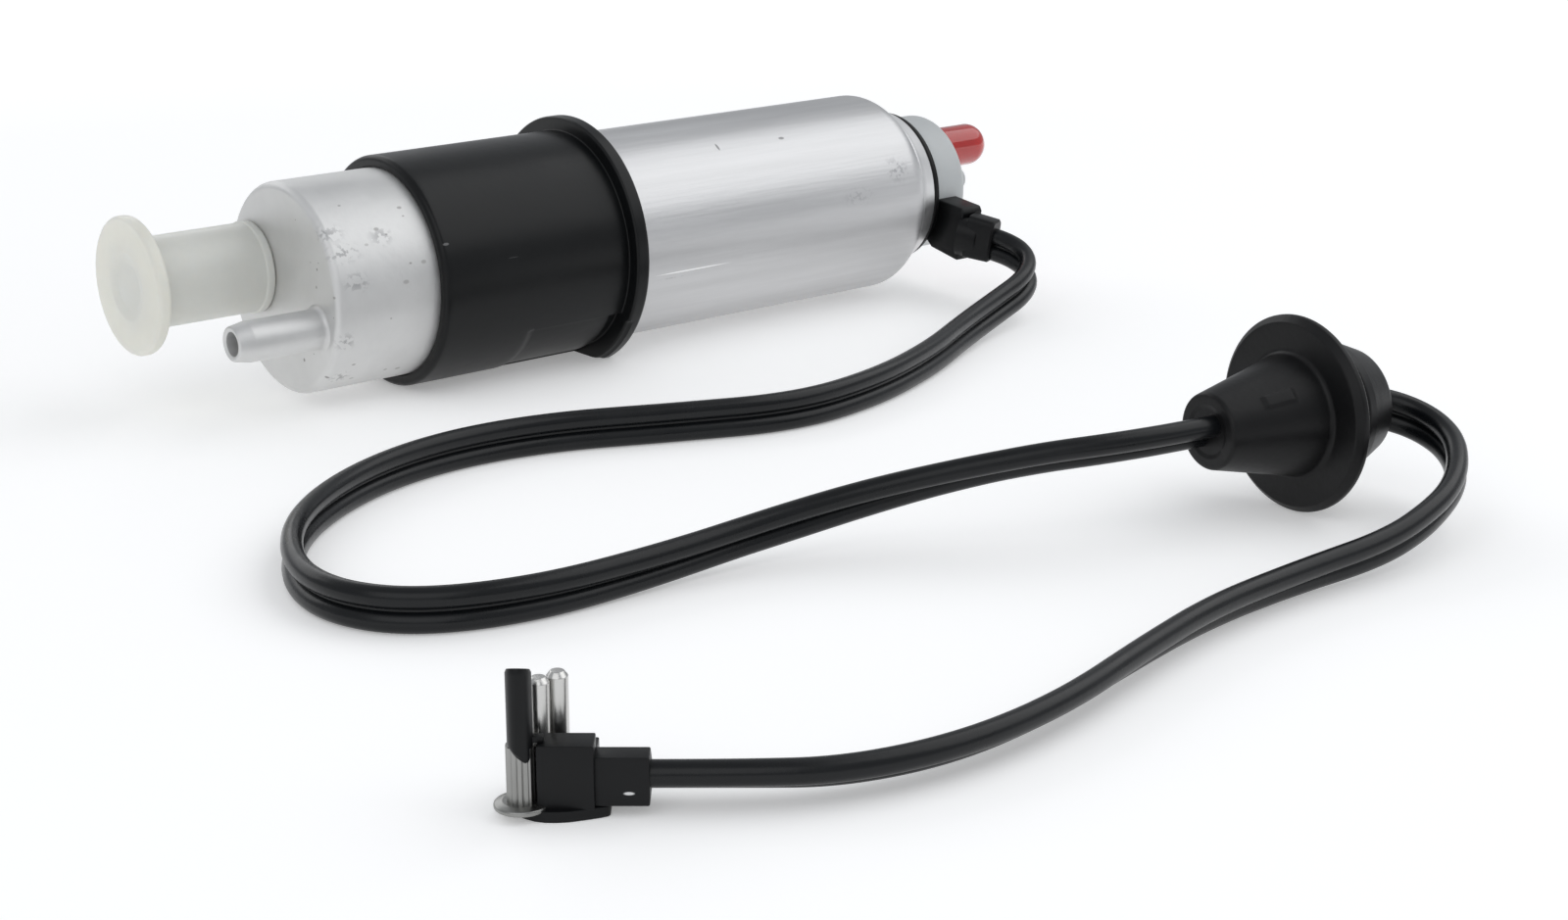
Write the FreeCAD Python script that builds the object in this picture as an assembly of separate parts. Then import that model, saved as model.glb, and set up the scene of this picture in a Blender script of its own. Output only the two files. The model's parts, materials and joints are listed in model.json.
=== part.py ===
"""In-line electric high pressure fuel pump with transit caps and a twin lead, in millimetres.

The pump lies on its side, +X along its axis from the inlet to the outlet and +Z up. The floor is z = 0.
Stations along the axis are counted from the inlet housing's end face.
The origin is at the bottom centre of the pump without its lead.
"""
import FreeCAD, Part

import math
import os

V = FreeCAD.Vector

# Common fits
slip = 0.1            # radial gap between fixed pieces that slide together
running = 0.05        # radial gap of a shaft in its bush
working = 0.3         # gap between pieces that move past each other

# Inlet housing, a casting with its hose spigot and return nipple
inlet_wall = 2.0
inlet_end_wall = 5.0
inlet_edge_r = 1.6
inlet_skirt_length = 14.0
inlet_skirt_wall = 1.4
spigot_inset = 7.6
spigot_z = 2.5
spigot_od = 14.6
spigot_bore = 10.4
spigot_length = 22.0
strainer_lip = 0.6
spigot_barb = 0.15
nipple_inset = 5.8
nipple_z = -5.35
nipple_od = 7.8
nipple_tip_od = 6.6
nipple_bore = 4.6
nipple_length = 18.3
nipple_taper = 3.2

# Motor can, drawn and rolled over at the outlet
can_wall = 1.5
can_start = 36.0
can_end_room = 13.2
shoulder_length = 7.5
shoulder_edge_r = 5.0
crease_depth = 2.9
crease_land = 0.5
neck_step = 1.7
neck_length = 5.0
lip_width = 2.7

# Isolating sleeve with its flange
sleeve_wall = 1.3
sleeve_start = 21.5
sleeve_length = 47.2
sleeve_flange_r = 25.65
sleeve_flange_t = 3.2
sleeve_edge_r = 1.1
pocket_depth = 0.5
pocket_start = 43.0
pocket_from = 30.0
pocket_to = 80.0
pocket_corner = 3.0

# Outlet end: seal ring, moulded cover, port and lobe
end_seal_inset = 0.4
end_seal_t = 1.5
cover_step = 0.7
cover_length = 9.7
cover_edge_r = 1.5
cover_spigot_length = 10.0
port_y = -1.0
port_z = 6.9
port_od = 7.2
port_length = 11.0
port_bore = 3.6
valve_bore_r = 3.2
valve_seat_length = 2.5
valve_chamber_length = 11.5
lobe_y = -9.5
lobe_z = 1.5
lobe_r = 2.6
lobe_height = 3.0

# Transit caps
red_cap_od = 9.4
red_cap_wall = 0.75
red_cap_length = 16.6
inlet_cap_od = 17.5
inlet_cap_wall = 1.2
inlet_cap_length = 26.6
inlet_cap_flange_r = 13.3
inlet_cap_flange_t = 1.5
inlet_cap_dish = 0.5

# Gear pump stack inside the inlet housing
stack_start = 24.0
base_plate_t = 7.0
gear_width = 8.0
cover_plate_t = 7.0
side_clearance = 0.05
outer_teeth = 7
roller_r = 2.3
throw_share = 0.95 / 12        # eccentricity over the ring gear's radius, small enough for lobes without folds
mesh_clearance = 0.15
ring_gear_od = 24.0
ring_gear_wall = 2.65
ring_bore_wall = 1.2
port_arc_inset = 2.0
port_arc_width = 3.0
screw_edge = 0.5
screw_r = 1.25
screw_head_r = 2.3
screw_head_t = 2.4
screw_first = 60.0
relief_inset = 3.1
relief_bore_r = 1.9
relief_hole_r = 1.2
relief_ball_r = 1.6
relief_wall = 0.8

# Motor
shaft_r = 3.0
shaft_start = 26.0
shaft_out = 0.5
shaft_flat = 0.5
bush_wall = 1.5
bush_length = 6.0
flux_ring_t = 2.0
flux_ring_reach = 4.0
magnet_t = 3.2
magnet_start = 56.0
magnet_length = 52.0
magnet_span = 130.0
clip_t = 0.8
air_gap = 0.8
core_inset = 6.0
core_slots = 8
core_hub_r = 6.2
slot_width = 2.0
slot_pocket_r = 2.5
slot_pocket_depth = 4.0
winding_head = 7.0
winding_step = 1.2
commutator_gap = 5.0
commutator_length = 11.0
commutator_r = 8.0
commutator_slit = 0.5
washer_t = 1.0
washer_r = 5.0

# Brush holder and brushes
holder_gap = 1.5
holder_length = 16.0
holder_skirt = 2.0
brush_width = 5.0
brush_length_x = 7.0
brush_height = 5.6
brush_gap = 0.1
brush_box_wall = 1.0
brush_spring_r = 1.8
brush_spring_wire = 0.5
brush_roof = 0.98
brush_play = 0.02
terminal_width = 4.0
terminal_t = 0.8

# Check valve and its spring
poppet_r = 2.7
poppet_t = 1.2
poppet_stem_r = 0.9
poppet_stem_length = 5.0
check_spring_r = 1.6
spring_wire = 0.5
relief_spring_r = 1.1
coil_corners = 8

# Lead, an oval twin core cable laid on the floor, with its route set by hand
lead_width = 7.4
lead_route = (
    (82.0, -25.4, 13.9), (85.0, -31.5, 12.8), (84.3, -39.0, 10.3), (77.5, -44.8, 7.9),
    (65.0, -48.3, 5.6), (50.0, -54.3, 4.2), (31.0, -64.5, 3.7), (8.5, -73.5, 3.7),
    (-14.0, -76.5, 3.7), (-36.0, -67.5, 3.7), (-58.0, -57.5, 3.7), (-80.0, -55.5, 3.7),
    (-101.0, -62.0, 3.7), (-120.0, -76.0, 3.7), (-131.5, -94.5, 3.7), (-133.3, -110.0, 3.7),
    (-126.0, -122.0, 3.7), (-109.0, -128.3, 3.7), (-87.0, -128.6, 3.9), (-66.0, -130.0, 5.8),
    (-46.0, -138.0, 10.2), (-30.0, -150.5, 14.9), (-14.0, -160.3, 16.7), (2.0, -163.4, 16.9),
    (18.0, -165.6, 16.8), (33.0, -167.2, 16.4), (38.6, -170.6, 15.4), (41.3, -176.0, 13.9),
    (40.2, -182.4, 12.2), (35.4, -188.4, 10.4), (27.2, -193.3, 8.6), (17.0, -196.4, 6.8),
    (4.5, -197.4, 4.8), (-14.0, -195.4, 3.7), (-36.0, -196.8, 3.7), (-58.0, -202.0, 3.7),
    (-78.0, -207.5, 3.7), (-98.0, -209.5, 3.7), (-115.0, -206.0, 3.8), (-126.76, -198.65, 4.4),
    (-135.2, -191.6, 4.4),
)
bend_share = 0.45

# Lead connector at the pump, a moulded block with a short neck
connector_inset = 0.7
connector_length = 6.0
connector_outline = ((-9.5, -0.4), (-25.8, -2.5), (-21.4, -13.9), (-12.9, -12.2), (-9.5, -9.0))
connector_neck_r = 4.4
connector_neck_length = 5.0

# Bulkhead grommet on the lead
grommet_x = 18.95
grommet_y = -165.5
grommet_turn = 173.4
grommet_flange_r = 16.85
grommet_flange_t = 2.4
grommet_cone_r = 10.5
grommet_cone_length = 18.2
grommet_mouth_r = 6.4
grommet_mouth_bore = 4.3
grommet_mouth_depth = 1.5
grommet_bore_r = 3.6
grommet_step_r = 14.8
grommet_step_t = 1.8
grommet_groove_r = 11.0
grommet_groove_width = 2.4
grommet_lip_r = 12.2
grommet_lip_width = 2.4
grommet_tail_r = 9.0
grommet_tail_length = 6.4

# Plug: right angle body, two pins, fixing screw and its guide
plug_x = -148.3
plug_y = -187.7
plug_turn = -39.87
base_length = 12.7
base_depth = 10.4
base_t = 1.5
base_left = -5.1
body_left = -1.5
body_length = 7.2
body_front = 0.9
body_depth = 10.2
body_height = 7.0
wall_depth = 4.6
wall_height = 10.0
rear_length = 6.9
rear_front = 1.5
rear_depth = 7.8
rear_height = 8.2
rear_flat = 3.7
pin_r = 1.3
pin_top = 17.6
pin_u = (-1.43, 1.42)
pin_w = (6.4, 8.6)
pin_root = 3.0
pin_edge = 0.5
screw_u = -3.55
screw_w = 2.6
screw_disc_r = 3.6
screw_disc_t = 0.7
column_r = 1.9
column_top = 10.0
column_ribs = 14
guide_r = 1.65
guide_front_r = 2.4
guide_top = 20.0
guide_slant = 1.5
guide_point = 2.0
guide_low = 8.3
guide_tip = 1.1
shank_top = 18.0
screw_shank_r = 1.0

# Across the pump, outward from its gears
eccentricity = throw_share * ring_gear_od / 2
roller_circle_r = ring_gear_od / 2 - ring_gear_wall + roller_r - 2 * eccentricity - mesh_clearance
port_arc_r = roller_circle_r - port_arc_inset
ring_bore_r = ring_gear_od / 2 + working / 3
screw_circle_r = ring_bore_r + eccentricity + ring_bore_wall + screw_r + slip
stack_r = screw_circle_r + screw_head_r + screw_edge
relief_z = relief_inset - stack_r
inlet_cavity_r = stack_r + slip
inlet_od = 2 * (inlet_cavity_r + inlet_wall)
spigot_y = inlet_cavity_r - spigot_inset
nipple_y = nipple_inset - inlet_cavity_r
can_inner_r = inlet_cavity_r + inlet_skirt_wall + slip
can_od = 2 * (can_inner_r + can_wall)
crease_r = can_od / 2 - crease_depth
neck_r = crease_r - neck_step
lip_bore_r = neck_r - lip_width
end_seal_r = neck_r - end_seal_inset
cover_r = lip_bore_r + cover_step
sleeve_od = can_od + 2 * (slip + sleeve_wall)
axis_z = sleeve_od / 2
magnet_inner_r = can_inner_r - slip - flux_ring_t - slip - magnet_t
core_r = magnet_inner_r - air_gap
slot_pocket_circle = core_r - slot_pocket_depth
winding_r = core_r - winding_step
holder_r = can_inner_r - slip - working
brush_top_r = commutator_r + brush_gap + brush_height + brush_play
brush_spring_length = holder_r - brush_top_r - brush_roof

# Along the pump, from its inlet to its outlet
base_end = stack_start + base_plate_t
gears_end = base_end + gear_width
stack_end = gears_end + cover_plate_t
flux_ring_start = magnet_start - flux_ring_reach
flux_ring_length = magnet_length + 2 * flux_ring_reach
core_start = magnet_start + core_inset
core_length = magnet_length - 2 * core_inset
commutator_start = magnet_start + magnet_length + commutator_gap
holder_start = commutator_start + commutator_length + holder_gap
holder_end = holder_start + holder_length
shaft_end = holder_end + shaft_out
can_end = holder_end + can_end_room
sleeve_end = sleeve_start + sleeve_length
cover_start = can_end + end_seal_t
cover_end = cover_start + cover_length
connector_start = cover_start + connector_inset
red_cap_end = cover_end + slip * 2 + red_cap_length
inlet_cap_front = -slip - inlet_cap_length
middle_x = (red_cap_end + inlet_cap_front) / 2


def corner_arc(before, corner, after, radius):
    """Return the two tangent points and the middle of an arc that rounds one corner."""
    to_before = (before - corner).normalize()
    to_after = (after - corner).normalize()
    half = math.acos(max(-1.0, min(1.0, to_before.dot(to_after)))) / 2
    reach = radius / math.tan(half)
    inward = (to_before + to_after).normalize()
    middle = corner + inward * (radius / math.sin(half) - radius)
    return corner + to_before * reach, middle, corner + to_after * reach


def outline(points, plane="xz"):
    """Make a closed face from corners (a, b) or (a, b, corner radius) in a plane."""
    place = {"xz": lambda a, b: V(a, 0, b), "xy": lambda a, b: V(a, b, 0), "yz": lambda a, b: V(0, a, b)}[plane]
    corners = [place(point[0], point[1]) for point in points]
    radii = [point[2] if len(point) > 2 else 0 for point in points]
    pieces = []
    for index, corner in enumerate(corners):
        if radii[index]:
            before = corners[index - 1]
            after = corners[(index + 1) % len(corners)]
            pieces.append(corner_arc(before, corner, after, radii[index]))
        else:
            pieces.append((corner, None, corner))
    edges = []
    for index, (start, middle, end) in enumerate(pieces):
        if middle:
            edges.append(Part.Arc(start, middle, end).toShape())
        following = pieces[(index + 1) % len(pieces)][0]
        if end.distanceToPoint(following) > 1e-6:
            edges.append(Part.LineSegment(end, following).toShape())
    return Part.Face(Part.Wire(edges))


def turned(points, angle=360.0):
    """Revolve an outline of (station, radius) about the pump axis."""
    return outline(points).revolve(V(0, 0, 0), V(1, 0, 0), angle)


def rod(start, end, radius, y=0.0, z=0.0):
    """Make a plain round rod along the axis between two stations."""
    return Part.makeCylinder(radius, end - start, V(start, y, z), V(1, 0, 0))


def ring(start, end, inner, outer, y=0.0, z=0.0):
    """Make a plain ring along the axis between two stations."""
    return rod(start, end, outer, y, z).cut(rod(start - 1, end + 1, inner, y, z))


def prism(points, plane, direction):
    """Extrude an outline along a direction."""
    return outline(points, plane).extrude(direction)


def box(x, y, z):
    """Make a box from its three (low, high) spans."""
    return Part.makeBox(x[1] - x[0], y[1] - y[0], z[1] - z[0], V(x[0], y[0], z[0]))


def bend(before, corner, after):
    """Arc of one bend: 0.45 of the shorter run, over the tangent of half the turn."""
    shorter = min(before.distanceToPoint(corner), after.distanceToPoint(corner))
    turn = math.acos(max(-1.0, min(1.0, (corner - before).normalize().dot((after - corner).normalize()))))
    radius = bend_share * shorter / math.tan(turn / 2)
    return radius, corner_arc(before, corner, after, radius)


def swept(points, section_r):
    """Sweep a round section along straight runs with a tangent arc at each corner."""
    edges = []
    radii = []
    last = points[0]
    for before, corner, after in zip(points, points[1:], points[2:]):
        radius, (start, middle, end) = bend(before, corner, after)
        radii.append(radius)
        edges.append(Part.LineSegment(last, start).toShape())
        edges.append(Part.Arc(start, middle, end).toShape())
        last = end
    edges.append(Part.LineSegment(last, points[-1]).toShape())
    path = Part.Wire(edges)
    section = Part.Wire(Part.makeCircle(section_r, points[0], points[1] - points[0]))
    return path.makePipeShell([section], True, True), path.Length, radii


def coil(start, end, radius, wire, turns):
    """Make an open compression spring along the axis, inside its two end stations."""
    margin = wire * 0.75
    count = int(turns * coil_corners)
    points = []
    for index in range(count + 1):
        turn = 2 * math.pi * index / coil_corners
        station = start + margin + (end - start - 2 * margin) * index / count
        points.append(V(station, radius * math.cos(turn), radius * math.sin(turn)))
    return swept(points, wire / 2)[0]


def inlet_housing():
    outer = inlet_od / 2
    skirt = can_inner_r - slip
    body = turned((
        (0, 0), (0, outer, inlet_edge_r), (can_start, outer), (can_start, skirt),
        (can_start + inlet_skirt_length, skirt), (can_start + inlet_skirt_length, inlet_cavity_r),
        (inlet_end_wall, inlet_cavity_r, inlet_edge_r), (inlet_end_wall, 0),
    ))
    wall = spigot_od / 2
    spigot = turned((
        (0.5, 0), (0.5, wall), (-spigot_length + 4, wall), (-spigot_length + 3, wall + spigot_barb),
        (-spigot_length, wall - 0.9), (-spigot_length, 0),
    ))
    spigot.translate(V(0, spigot_y, spigot_z))
    wall = nipple_od / 2
    nipple = turned((
        (0.5, 0), (0.5, wall), (-nipple_length + nipple_taper, wall), (-nipple_length, nipple_tip_od / 2, 0.4),
        (-nipple_length, 0),
    ))
    nipple.translate(V(0, nipple_y, nipple_z))
    body = body.fuse([spigot, nipple])
    bores = rod(-spigot_length - 1, inlet_end_wall + 1, spigot_bore / 2, spigot_y, spigot_z)
    bores = bores.fuse(rod(-nipple_length - 1, inlet_end_wall + 1, nipple_bore / 2, nipple_y, nipple_z))
    return body.cut(bores)


def inlet_strainer():
    outer = spigot_bore / 2 - slip
    cup = turned((
        (inlet_end_wall - 14, 0), (inlet_end_wall - 14, outer - 1.0), (inlet_end_wall, outer),
        (inlet_end_wall, outer + strainer_lip), (inlet_end_wall + 1, outer + strainer_lip), (inlet_end_wall + 1, outer - 0.6),
        (inlet_end_wall - 13, outer - 1.6), (inlet_end_wall - 13, 0),
    ))
    for index in range(6):
        window = box((inlet_end_wall - 11, inlet_end_wall - 2), (-0.9, 0.9), (0, outer + 1))
        window.rotate(V(0, 0, 0), V(1, 0, 0), index * 60)
        cup = cup.cut(window)
    cup.translate(V(0, spigot_y, spigot_z))
    return cup


def motor_can():
    outer = can_od / 2
    inner = can_inner_r
    crease = can_end - neck_length - crease_land
    steep = crease - (outer - crease_r) * 0.7
    return turned((
        (can_start, inner), (can_start, outer), (steep, outer, shoulder_edge_r), (crease, crease_r),
        (crease + crease_land, crease_r), (can_end - 0.4, neck_r, 0.7), (can_end, lip_bore_r),
        (can_end - can_wall, lip_bore_r), (can_end - can_wall - 0.4, neck_r - can_wall),
        (crease, crease_r - can_wall * 0.9), (steep - can_wall * 0.6, inner, shoulder_edge_r - can_wall),
    ))


def isolating_sleeve():
    outer = sleeve_od / 2
    flange_start = sleeve_end - sleeve_flange_t
    sleeve = turned((
        (sleeve_start, inlet_od / 2 + slip), (sleeve_start, outer, sleeve_edge_r), (flange_start, outer),
        (flange_start, sleeve_flange_r, 0.5), (sleeve_end, sleeve_flange_r, 0.8),
        (sleeve_end, can_od / 2 + slip), (can_start, can_od / 2 + slip), (can_start, inlet_od / 2 + slip),
    ))
    flat = box((flange_start - 1, sleeve_end + 1), (-outer, outer), (-outer - 10, -outer))
    sleeve = sleeve.cut(flat)
    floor_r = outer - pocket_depth
    cutter = outline((
        (pocket_start, floor_r), (pocket_start, outer + 1), (flange_start, outer + 1), (flange_start, floor_r),
    ))
    cutter = cutter.revolve(V(0, 0, 0), V(1, 0, 0), pocket_to - pocket_from)
    ends = [edge for edge in cutter.Edges
            if abs(edge.Length - pocket_depth - 1) < 1e-3 and abs(edge.CenterOfMass.x - pocket_start) < 1e-3]
    cutter = cutter.makeFillet(pocket_corner, ends)
    cutter.rotate(V(0, 0, 0), V(1, 0, 0), 90 + pocket_from)
    return sleeve.cut(cutter)


def housing_seal():
    outer = can_inner_r - slip
    seal_start = can_start + inlet_skirt_length + slip
    return ring(seal_start, seal_start + 1.2, inlet_cavity_r, outer + slip / 2)


def can_end_seal():
    return ring(can_end, can_end + end_seal_t, lip_bore_r - 1.0, end_seal_r)


def outlet_cover():
    spigot_r = lip_bore_r - slip
    start = cover_start - cover_spigot_length
    body = turned((
        (start, 0), (start, spigot_r, 0.8), (cover_start - end_seal_t, spigot_r),
        (cover_start - end_seal_t, lip_bore_r - 1.0 - slip), (cover_start, lip_bore_r - 1.0 - slip),
        (cover_start, cover_r), (cover_end, cover_r, cover_edge_r), (cover_end, 0),
    ))
    port = turned((
        (cover_end - 0.5, 0), (cover_end - 0.5, port_od / 2), (cover_end + port_length - 1.2, port_od / 2),
        (cover_end + port_length, port_od / 2 - 0.5), (cover_end + port_length, 0),
    ))
    port.translate(V(0, port_y, port_z))
    lobe = rod(cover_end - cover_length / 2, cover_end + lobe_height, lobe_r, lobe_y, lobe_z)
    rim = [edge for edge in lobe.Edges if abs(edge.CenterOfMass.x - cover_end - lobe_height) < 1e-3]
    lobe = lobe.makeFillet(1.2, rim)
    body = body.fuse([port, lobe])
    seat_end = start + valve_seat_length
    chamber_end = seat_end + valve_chamber_length
    bore = rod(start - 1, seat_end + 0.5, port_bore / 2, port_y, port_z)
    bore = bore.fuse(rod(seat_end, chamber_end, valve_bore_r, port_y, port_z))
    bore = bore.fuse(rod(chamber_end - 0.5, cover_end + port_length + 1, port_bore / 2, port_y, port_z))
    pocket = outline(connector_outline, "yz").makeOffset2D(slip, 2).extrude(V(connector_length + 2 * slip, 0, 0))
    pocket.translate(V(connector_start - slip, 0, 0))
    return body.cut(bore).cut(pocket)


def valve_station():
    return cover_start - cover_spigot_length + valve_seat_length


def check_valve():
    seat = valve_station() + running
    poppet = turned((
        (seat - 1.2, 0), (seat - 1.2, 0.9), (seat, port_bore / 2 - 0.4), (seat, poppet_r),
        (seat + poppet_t, poppet_r), (seat + poppet_t, poppet_stem_r),
        (seat + poppet_t + poppet_stem_length, poppet_stem_r, 0.4), (seat + poppet_t + poppet_stem_length, 0),
    ))
    poppet.translate(V(0, port_y, port_z))
    return poppet


def check_spring():
    start = valve_station() + running + poppet_t + 0.02
    end = valve_station() + valve_chamber_length - 0.02
    spring = coil(start, end, check_spring_r, spring_wire, 5)
    spring.translate(V(0, port_y, port_z))
    return spring


def outlet_cap():
    start = cover_end + 2 * slip
    outer = red_cap_od / 2
    inner = outer - red_cap_wall
    cap = turned((
        (start, inner), (start, outer), (red_cap_end, outer, outer * 0.92), (red_cap_end, 0),
        (red_cap_end - red_cap_wall, 0), (red_cap_end - red_cap_wall, inner, inner * 0.9),
    ))
    cap.translate(V(0, port_y, port_z))
    return cap


def inlet_cap():
    outer = inlet_cap_od / 2
    inner = outer - inlet_cap_wall
    back = inlet_cap_front + inlet_cap_flange_t
    cap = turned((
        (inlet_cap_front + inlet_cap_dish, 0), (inlet_cap_front + inlet_cap_dish, outer - 1.5),
        (inlet_cap_front, outer), (inlet_cap_front, inlet_cap_flange_r, 0.6),
        (back, inlet_cap_flange_r, 0.6), (back, outer, 0.8), (-slip, outer), (-slip, inner),
        (back + 0.5, inner), (back + 0.5, 0),
    ))
    cap.translate(V(0, spigot_y, spigot_z))
    return cap


def gear_profile(phase, extra):
    """Closed curve of the inner rotor: the inside envelope of the ring gear's round teeth."""
    count = 12 * (outer_teeth - 1)
    ratio = roller_circle_r / (eccentricity * outer_teeth)
    points = []
    for index in range(count):
        turn = 2 * math.pi * index / count
        lean = math.atan2(math.sin((1 - outer_teeth) * turn), ratio - math.cos((1 - outer_teeth) * turn))
        reach = roller_r + extra
        a = roller_circle_r * math.cos(turn) - reach * math.cos(turn + lean)
        a -= eccentricity * math.cos(outer_teeth * turn)
        b = -roller_circle_r * math.sin(turn) + reach * math.sin(turn + lean)
        b += eccentricity * math.sin(outer_teeth * turn)
        points.append(V(0, a * math.cos(phase) - b * math.sin(phase), a * math.sin(phase) + b * math.cos(phase)))
    curve = Part.BSplineCurve()
    curve.interpolate(Points=points, PeriodicFlag=True)
    return curve


def inner_rotor():
    profile = gear_profile(-math.pi / 2, mesh_clearance)
    face = Part.Face(Part.Wire(profile.toShape()))
    start = base_end + side_clearance
    rotor = face.extrude(V(gear_width - 2 * side_clearance, 0, 0))
    rotor.translate(V(start, 0, 0))
    hole = rod(start - 1, gears_end + 1, shaft_r + slip)
    flat = shaft_r - shaft_flat + slip
    for side in (-1, 1):
        spans = sorted((side * flat, side * (flat + 5)))
        hole = hole.cut(box((start - 2, gears_end + 2), spans, (-9, 9)))
    return rotor.cut(hole)


def outer_rotor():
    root_r = roller_circle_r - roller_r + 2 * eccentricity + mesh_clearance
    start = base_end + side_clearance
    end = gears_end - side_clearance
    rotor = ring(start, end, root_r, ring_gear_od / 2)
    for index in range(outer_teeth):
        turn = 2 * math.pi * index / outer_teeth - math.pi / 2
        tooth = rod(start, end, roller_r, roller_circle_r * math.cos(turn), roller_circle_r * math.sin(turn))
        rotor = rotor.fuse(tooth.common(rod(start, end, root_r + 0.5)))
    rotor = rotor.removeSplitter()
    rotor.translate(V(0, 0, eccentricity))
    return rotor


def screw_places():
    """Centres (y, z) of the three screws that hold the gear stack together."""
    turns = [math.radians(screw_first + 120 * index) for index in range(3)]
    return [(screw_circle_r * math.cos(turn), screw_circle_r * math.sin(turn)) for turn in turns]


def kidney(start, end, side):
    """Make a curved port opening on one side of the gears."""
    slot = ring(start, end, port_arc_r - port_arc_width / 2, port_arc_r + port_arc_width / 2)
    low = box((start - 1, end + 1), sorted((side * 1.8, side * 12)), (-12, 12))
    return slot.common(low)


def pump_base():
    plate = rod(stack_start, base_end, stack_r)
    cuts = [rod(shaft_start - 0.5, base_end + 1, shaft_r + running), kidney(stack_start - 1, base_end + 1, -1)]
    for y, z in screw_places():
        cuts.append(rod(stack_start + 1.5, base_end + 1, screw_r + slip, y, z))
    cuts.append(rod(stack_start + relief_wall, base_end + 1, relief_bore_r, 0, relief_z))
    cuts.append(rod(stack_start - 1, stack_start + 2, relief_hole_r * 0.8, 0, relief_z))
    return plate.cut(cuts)


def rotor_ring():
    plate = rod(base_end, gears_end, stack_r)
    cuts = [rod(base_end - 1, gears_end + 1, ring_bore_r, 0, eccentricity)]
    for y, z in screw_places():
        cuts.append(rod(base_end - 1, gears_end + 1, screw_r + slip, y, z))
    cuts.append(rod(base_end - 1, gears_end + 1, relief_hole_r, 0, relief_z))
    return plate.cut(cuts)


def pump_cover():
    plate = rod(gears_end, stack_end, stack_r)
    cuts = [
        rod(gears_end - 1, stack_end + 1, shaft_r + slip + bush_wall),
        kidney(gears_end - 1, stack_end + 1, 1),
        rod(gears_end - 1, stack_end + 1, relief_hole_r, 0, relief_z),
    ]
    for y, z in screw_places():
        cuts.append(rod(gears_end - 1, stack_end + 1, screw_r + slip, y, z))
    return plate.cut(cuts)


def stack_screws():
    screws = []
    for y, z in screw_places():
        shank = rod(stack_start + 2, stack_end + 0.5, screw_r, y, z)
        head = rod(stack_end, stack_end + screw_head_t, screw_head_r, y, z)
        socket = rod(stack_end + 1, stack_end + 4, screw_head_r / 2, y, z)
        screws.append(shank.fuse(head).cut(socket).removeSplitter())
    return Part.makeCompound(screws)


def relief_ball():
    drop = math.sqrt(relief_ball_r ** 2 - relief_hole_r ** 2)
    return Part.makeSphere(relief_ball_r, V(base_end - drop - running, 0, relief_z))


def relief_spring():
    drop = math.sqrt(relief_ball_r ** 2 - relief_hole_r ** 2)
    end = base_end - drop - relief_ball_r
    spring = coil(stack_start + relief_wall, end + 0.35, relief_spring_r, 0.35, 3)
    spring.translate(V(0, 0, relief_z))
    return spring


def shaft_bushes():
    outer = shaft_r + slip + bush_wall - slip / 5
    pump_bush = ring(gears_end + 0.3, gears_end + 0.3 + bush_length, shaft_r + running, outer)
    end_bush = ring(holder_end - bush_length, holder_end, shaft_r + running, outer)
    return Part.makeCompound([pump_bush, end_bush])


def armature_shaft():
    shaft = rod(shaft_start, shaft_end, shaft_r)
    for side in (-1, 1):
        flat = sorted((side * (shaft_r - shaft_flat), side * (shaft_r + 2)))
        shaft = shaft.cut(box((shaft_start - 1, gears_end - side_clearance), flat, (-9, 9)))
    return shaft


def thrust_washers():
    first = ring(stack_end + slip, stack_end + slip + washer_t, shaft_r + slip / 5, washer_r)
    second = ring(holder_start - slip - washer_t, holder_start - slip, shaft_r + slip / 5, washer_r)
    return Part.makeCompound([first, second])


def slot_angles():
    return [360.0 * index / core_slots for index in range(core_slots)]


def armature_core():
    end = core_start + core_length
    core = ring(core_start, end, shaft_r + slip / 5, core_r)
    for angle in slot_angles():
        pocket = rod(core_start - 1, end + 1, slot_pocket_r, 0, slot_pocket_circle)
        mouth = box((core_start - 1, end + 1), (-slot_width / 2, slot_width / 2), (slot_pocket_circle, core_r + 1))
        cutter = pocket.fuse(mouth)
        cutter.rotate(V(0, 0, 0), V(1, 0, 0), angle)
        core = core.cut(cutter)
    return core


def armature_windings():
    """Coil heads at both ends of the core, joined through its slots."""
    gap = slip
    end = core_start + core_length
    inner = core_hub_r
    heads = []
    for start, stop in ((core_start - gap - winding_head, core_start - gap), (end + gap, end + gap + winding_head)):
        heads.append(turned((
            (start, inner), (start, winding_r, 2.2), (stop, winding_r, 0.6), (stop, inner),
        )))
    coils = heads[0].fuse(heads[1])
    for angle in slot_angles():
        bar = rod(core_start - 2, end + 2, slot_pocket_r - slip, 0, slot_pocket_circle)
        bar.rotate(V(0, 0, 0), V(1, 0, 0), angle)
        coils = coils.fuse(bar)
    return coils.removeSplitter()


def commutator():
    end = commutator_start + commutator_length
    drum = turned((
        (commutator_start, shaft_r + slip / 5), (commutator_start, commutator_r + 1.2),
        (commutator_start + 2, commutator_r + 1.2), (commutator_start + 2, commutator_r),
        (end, commutator_r), (end, shaft_r + slip / 5),
    ))
    for angle in slot_angles():
        slit = box((commutator_start - 1, end + 1), (-commutator_slit / 2, commutator_slit / 2),
                   (commutator_r - 0.8, commutator_r + 2))
        slit.rotate(V(0, 0, 0), V(1, 0, 0), angle + 180.0 / core_slots)
        drum = drum.cut(slit)
    return drum


def flux_ring():
    outer = can_inner_r - slip
    return ring(flux_ring_start, flux_ring_start + flux_ring_length, outer - flux_ring_t, outer)


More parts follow.
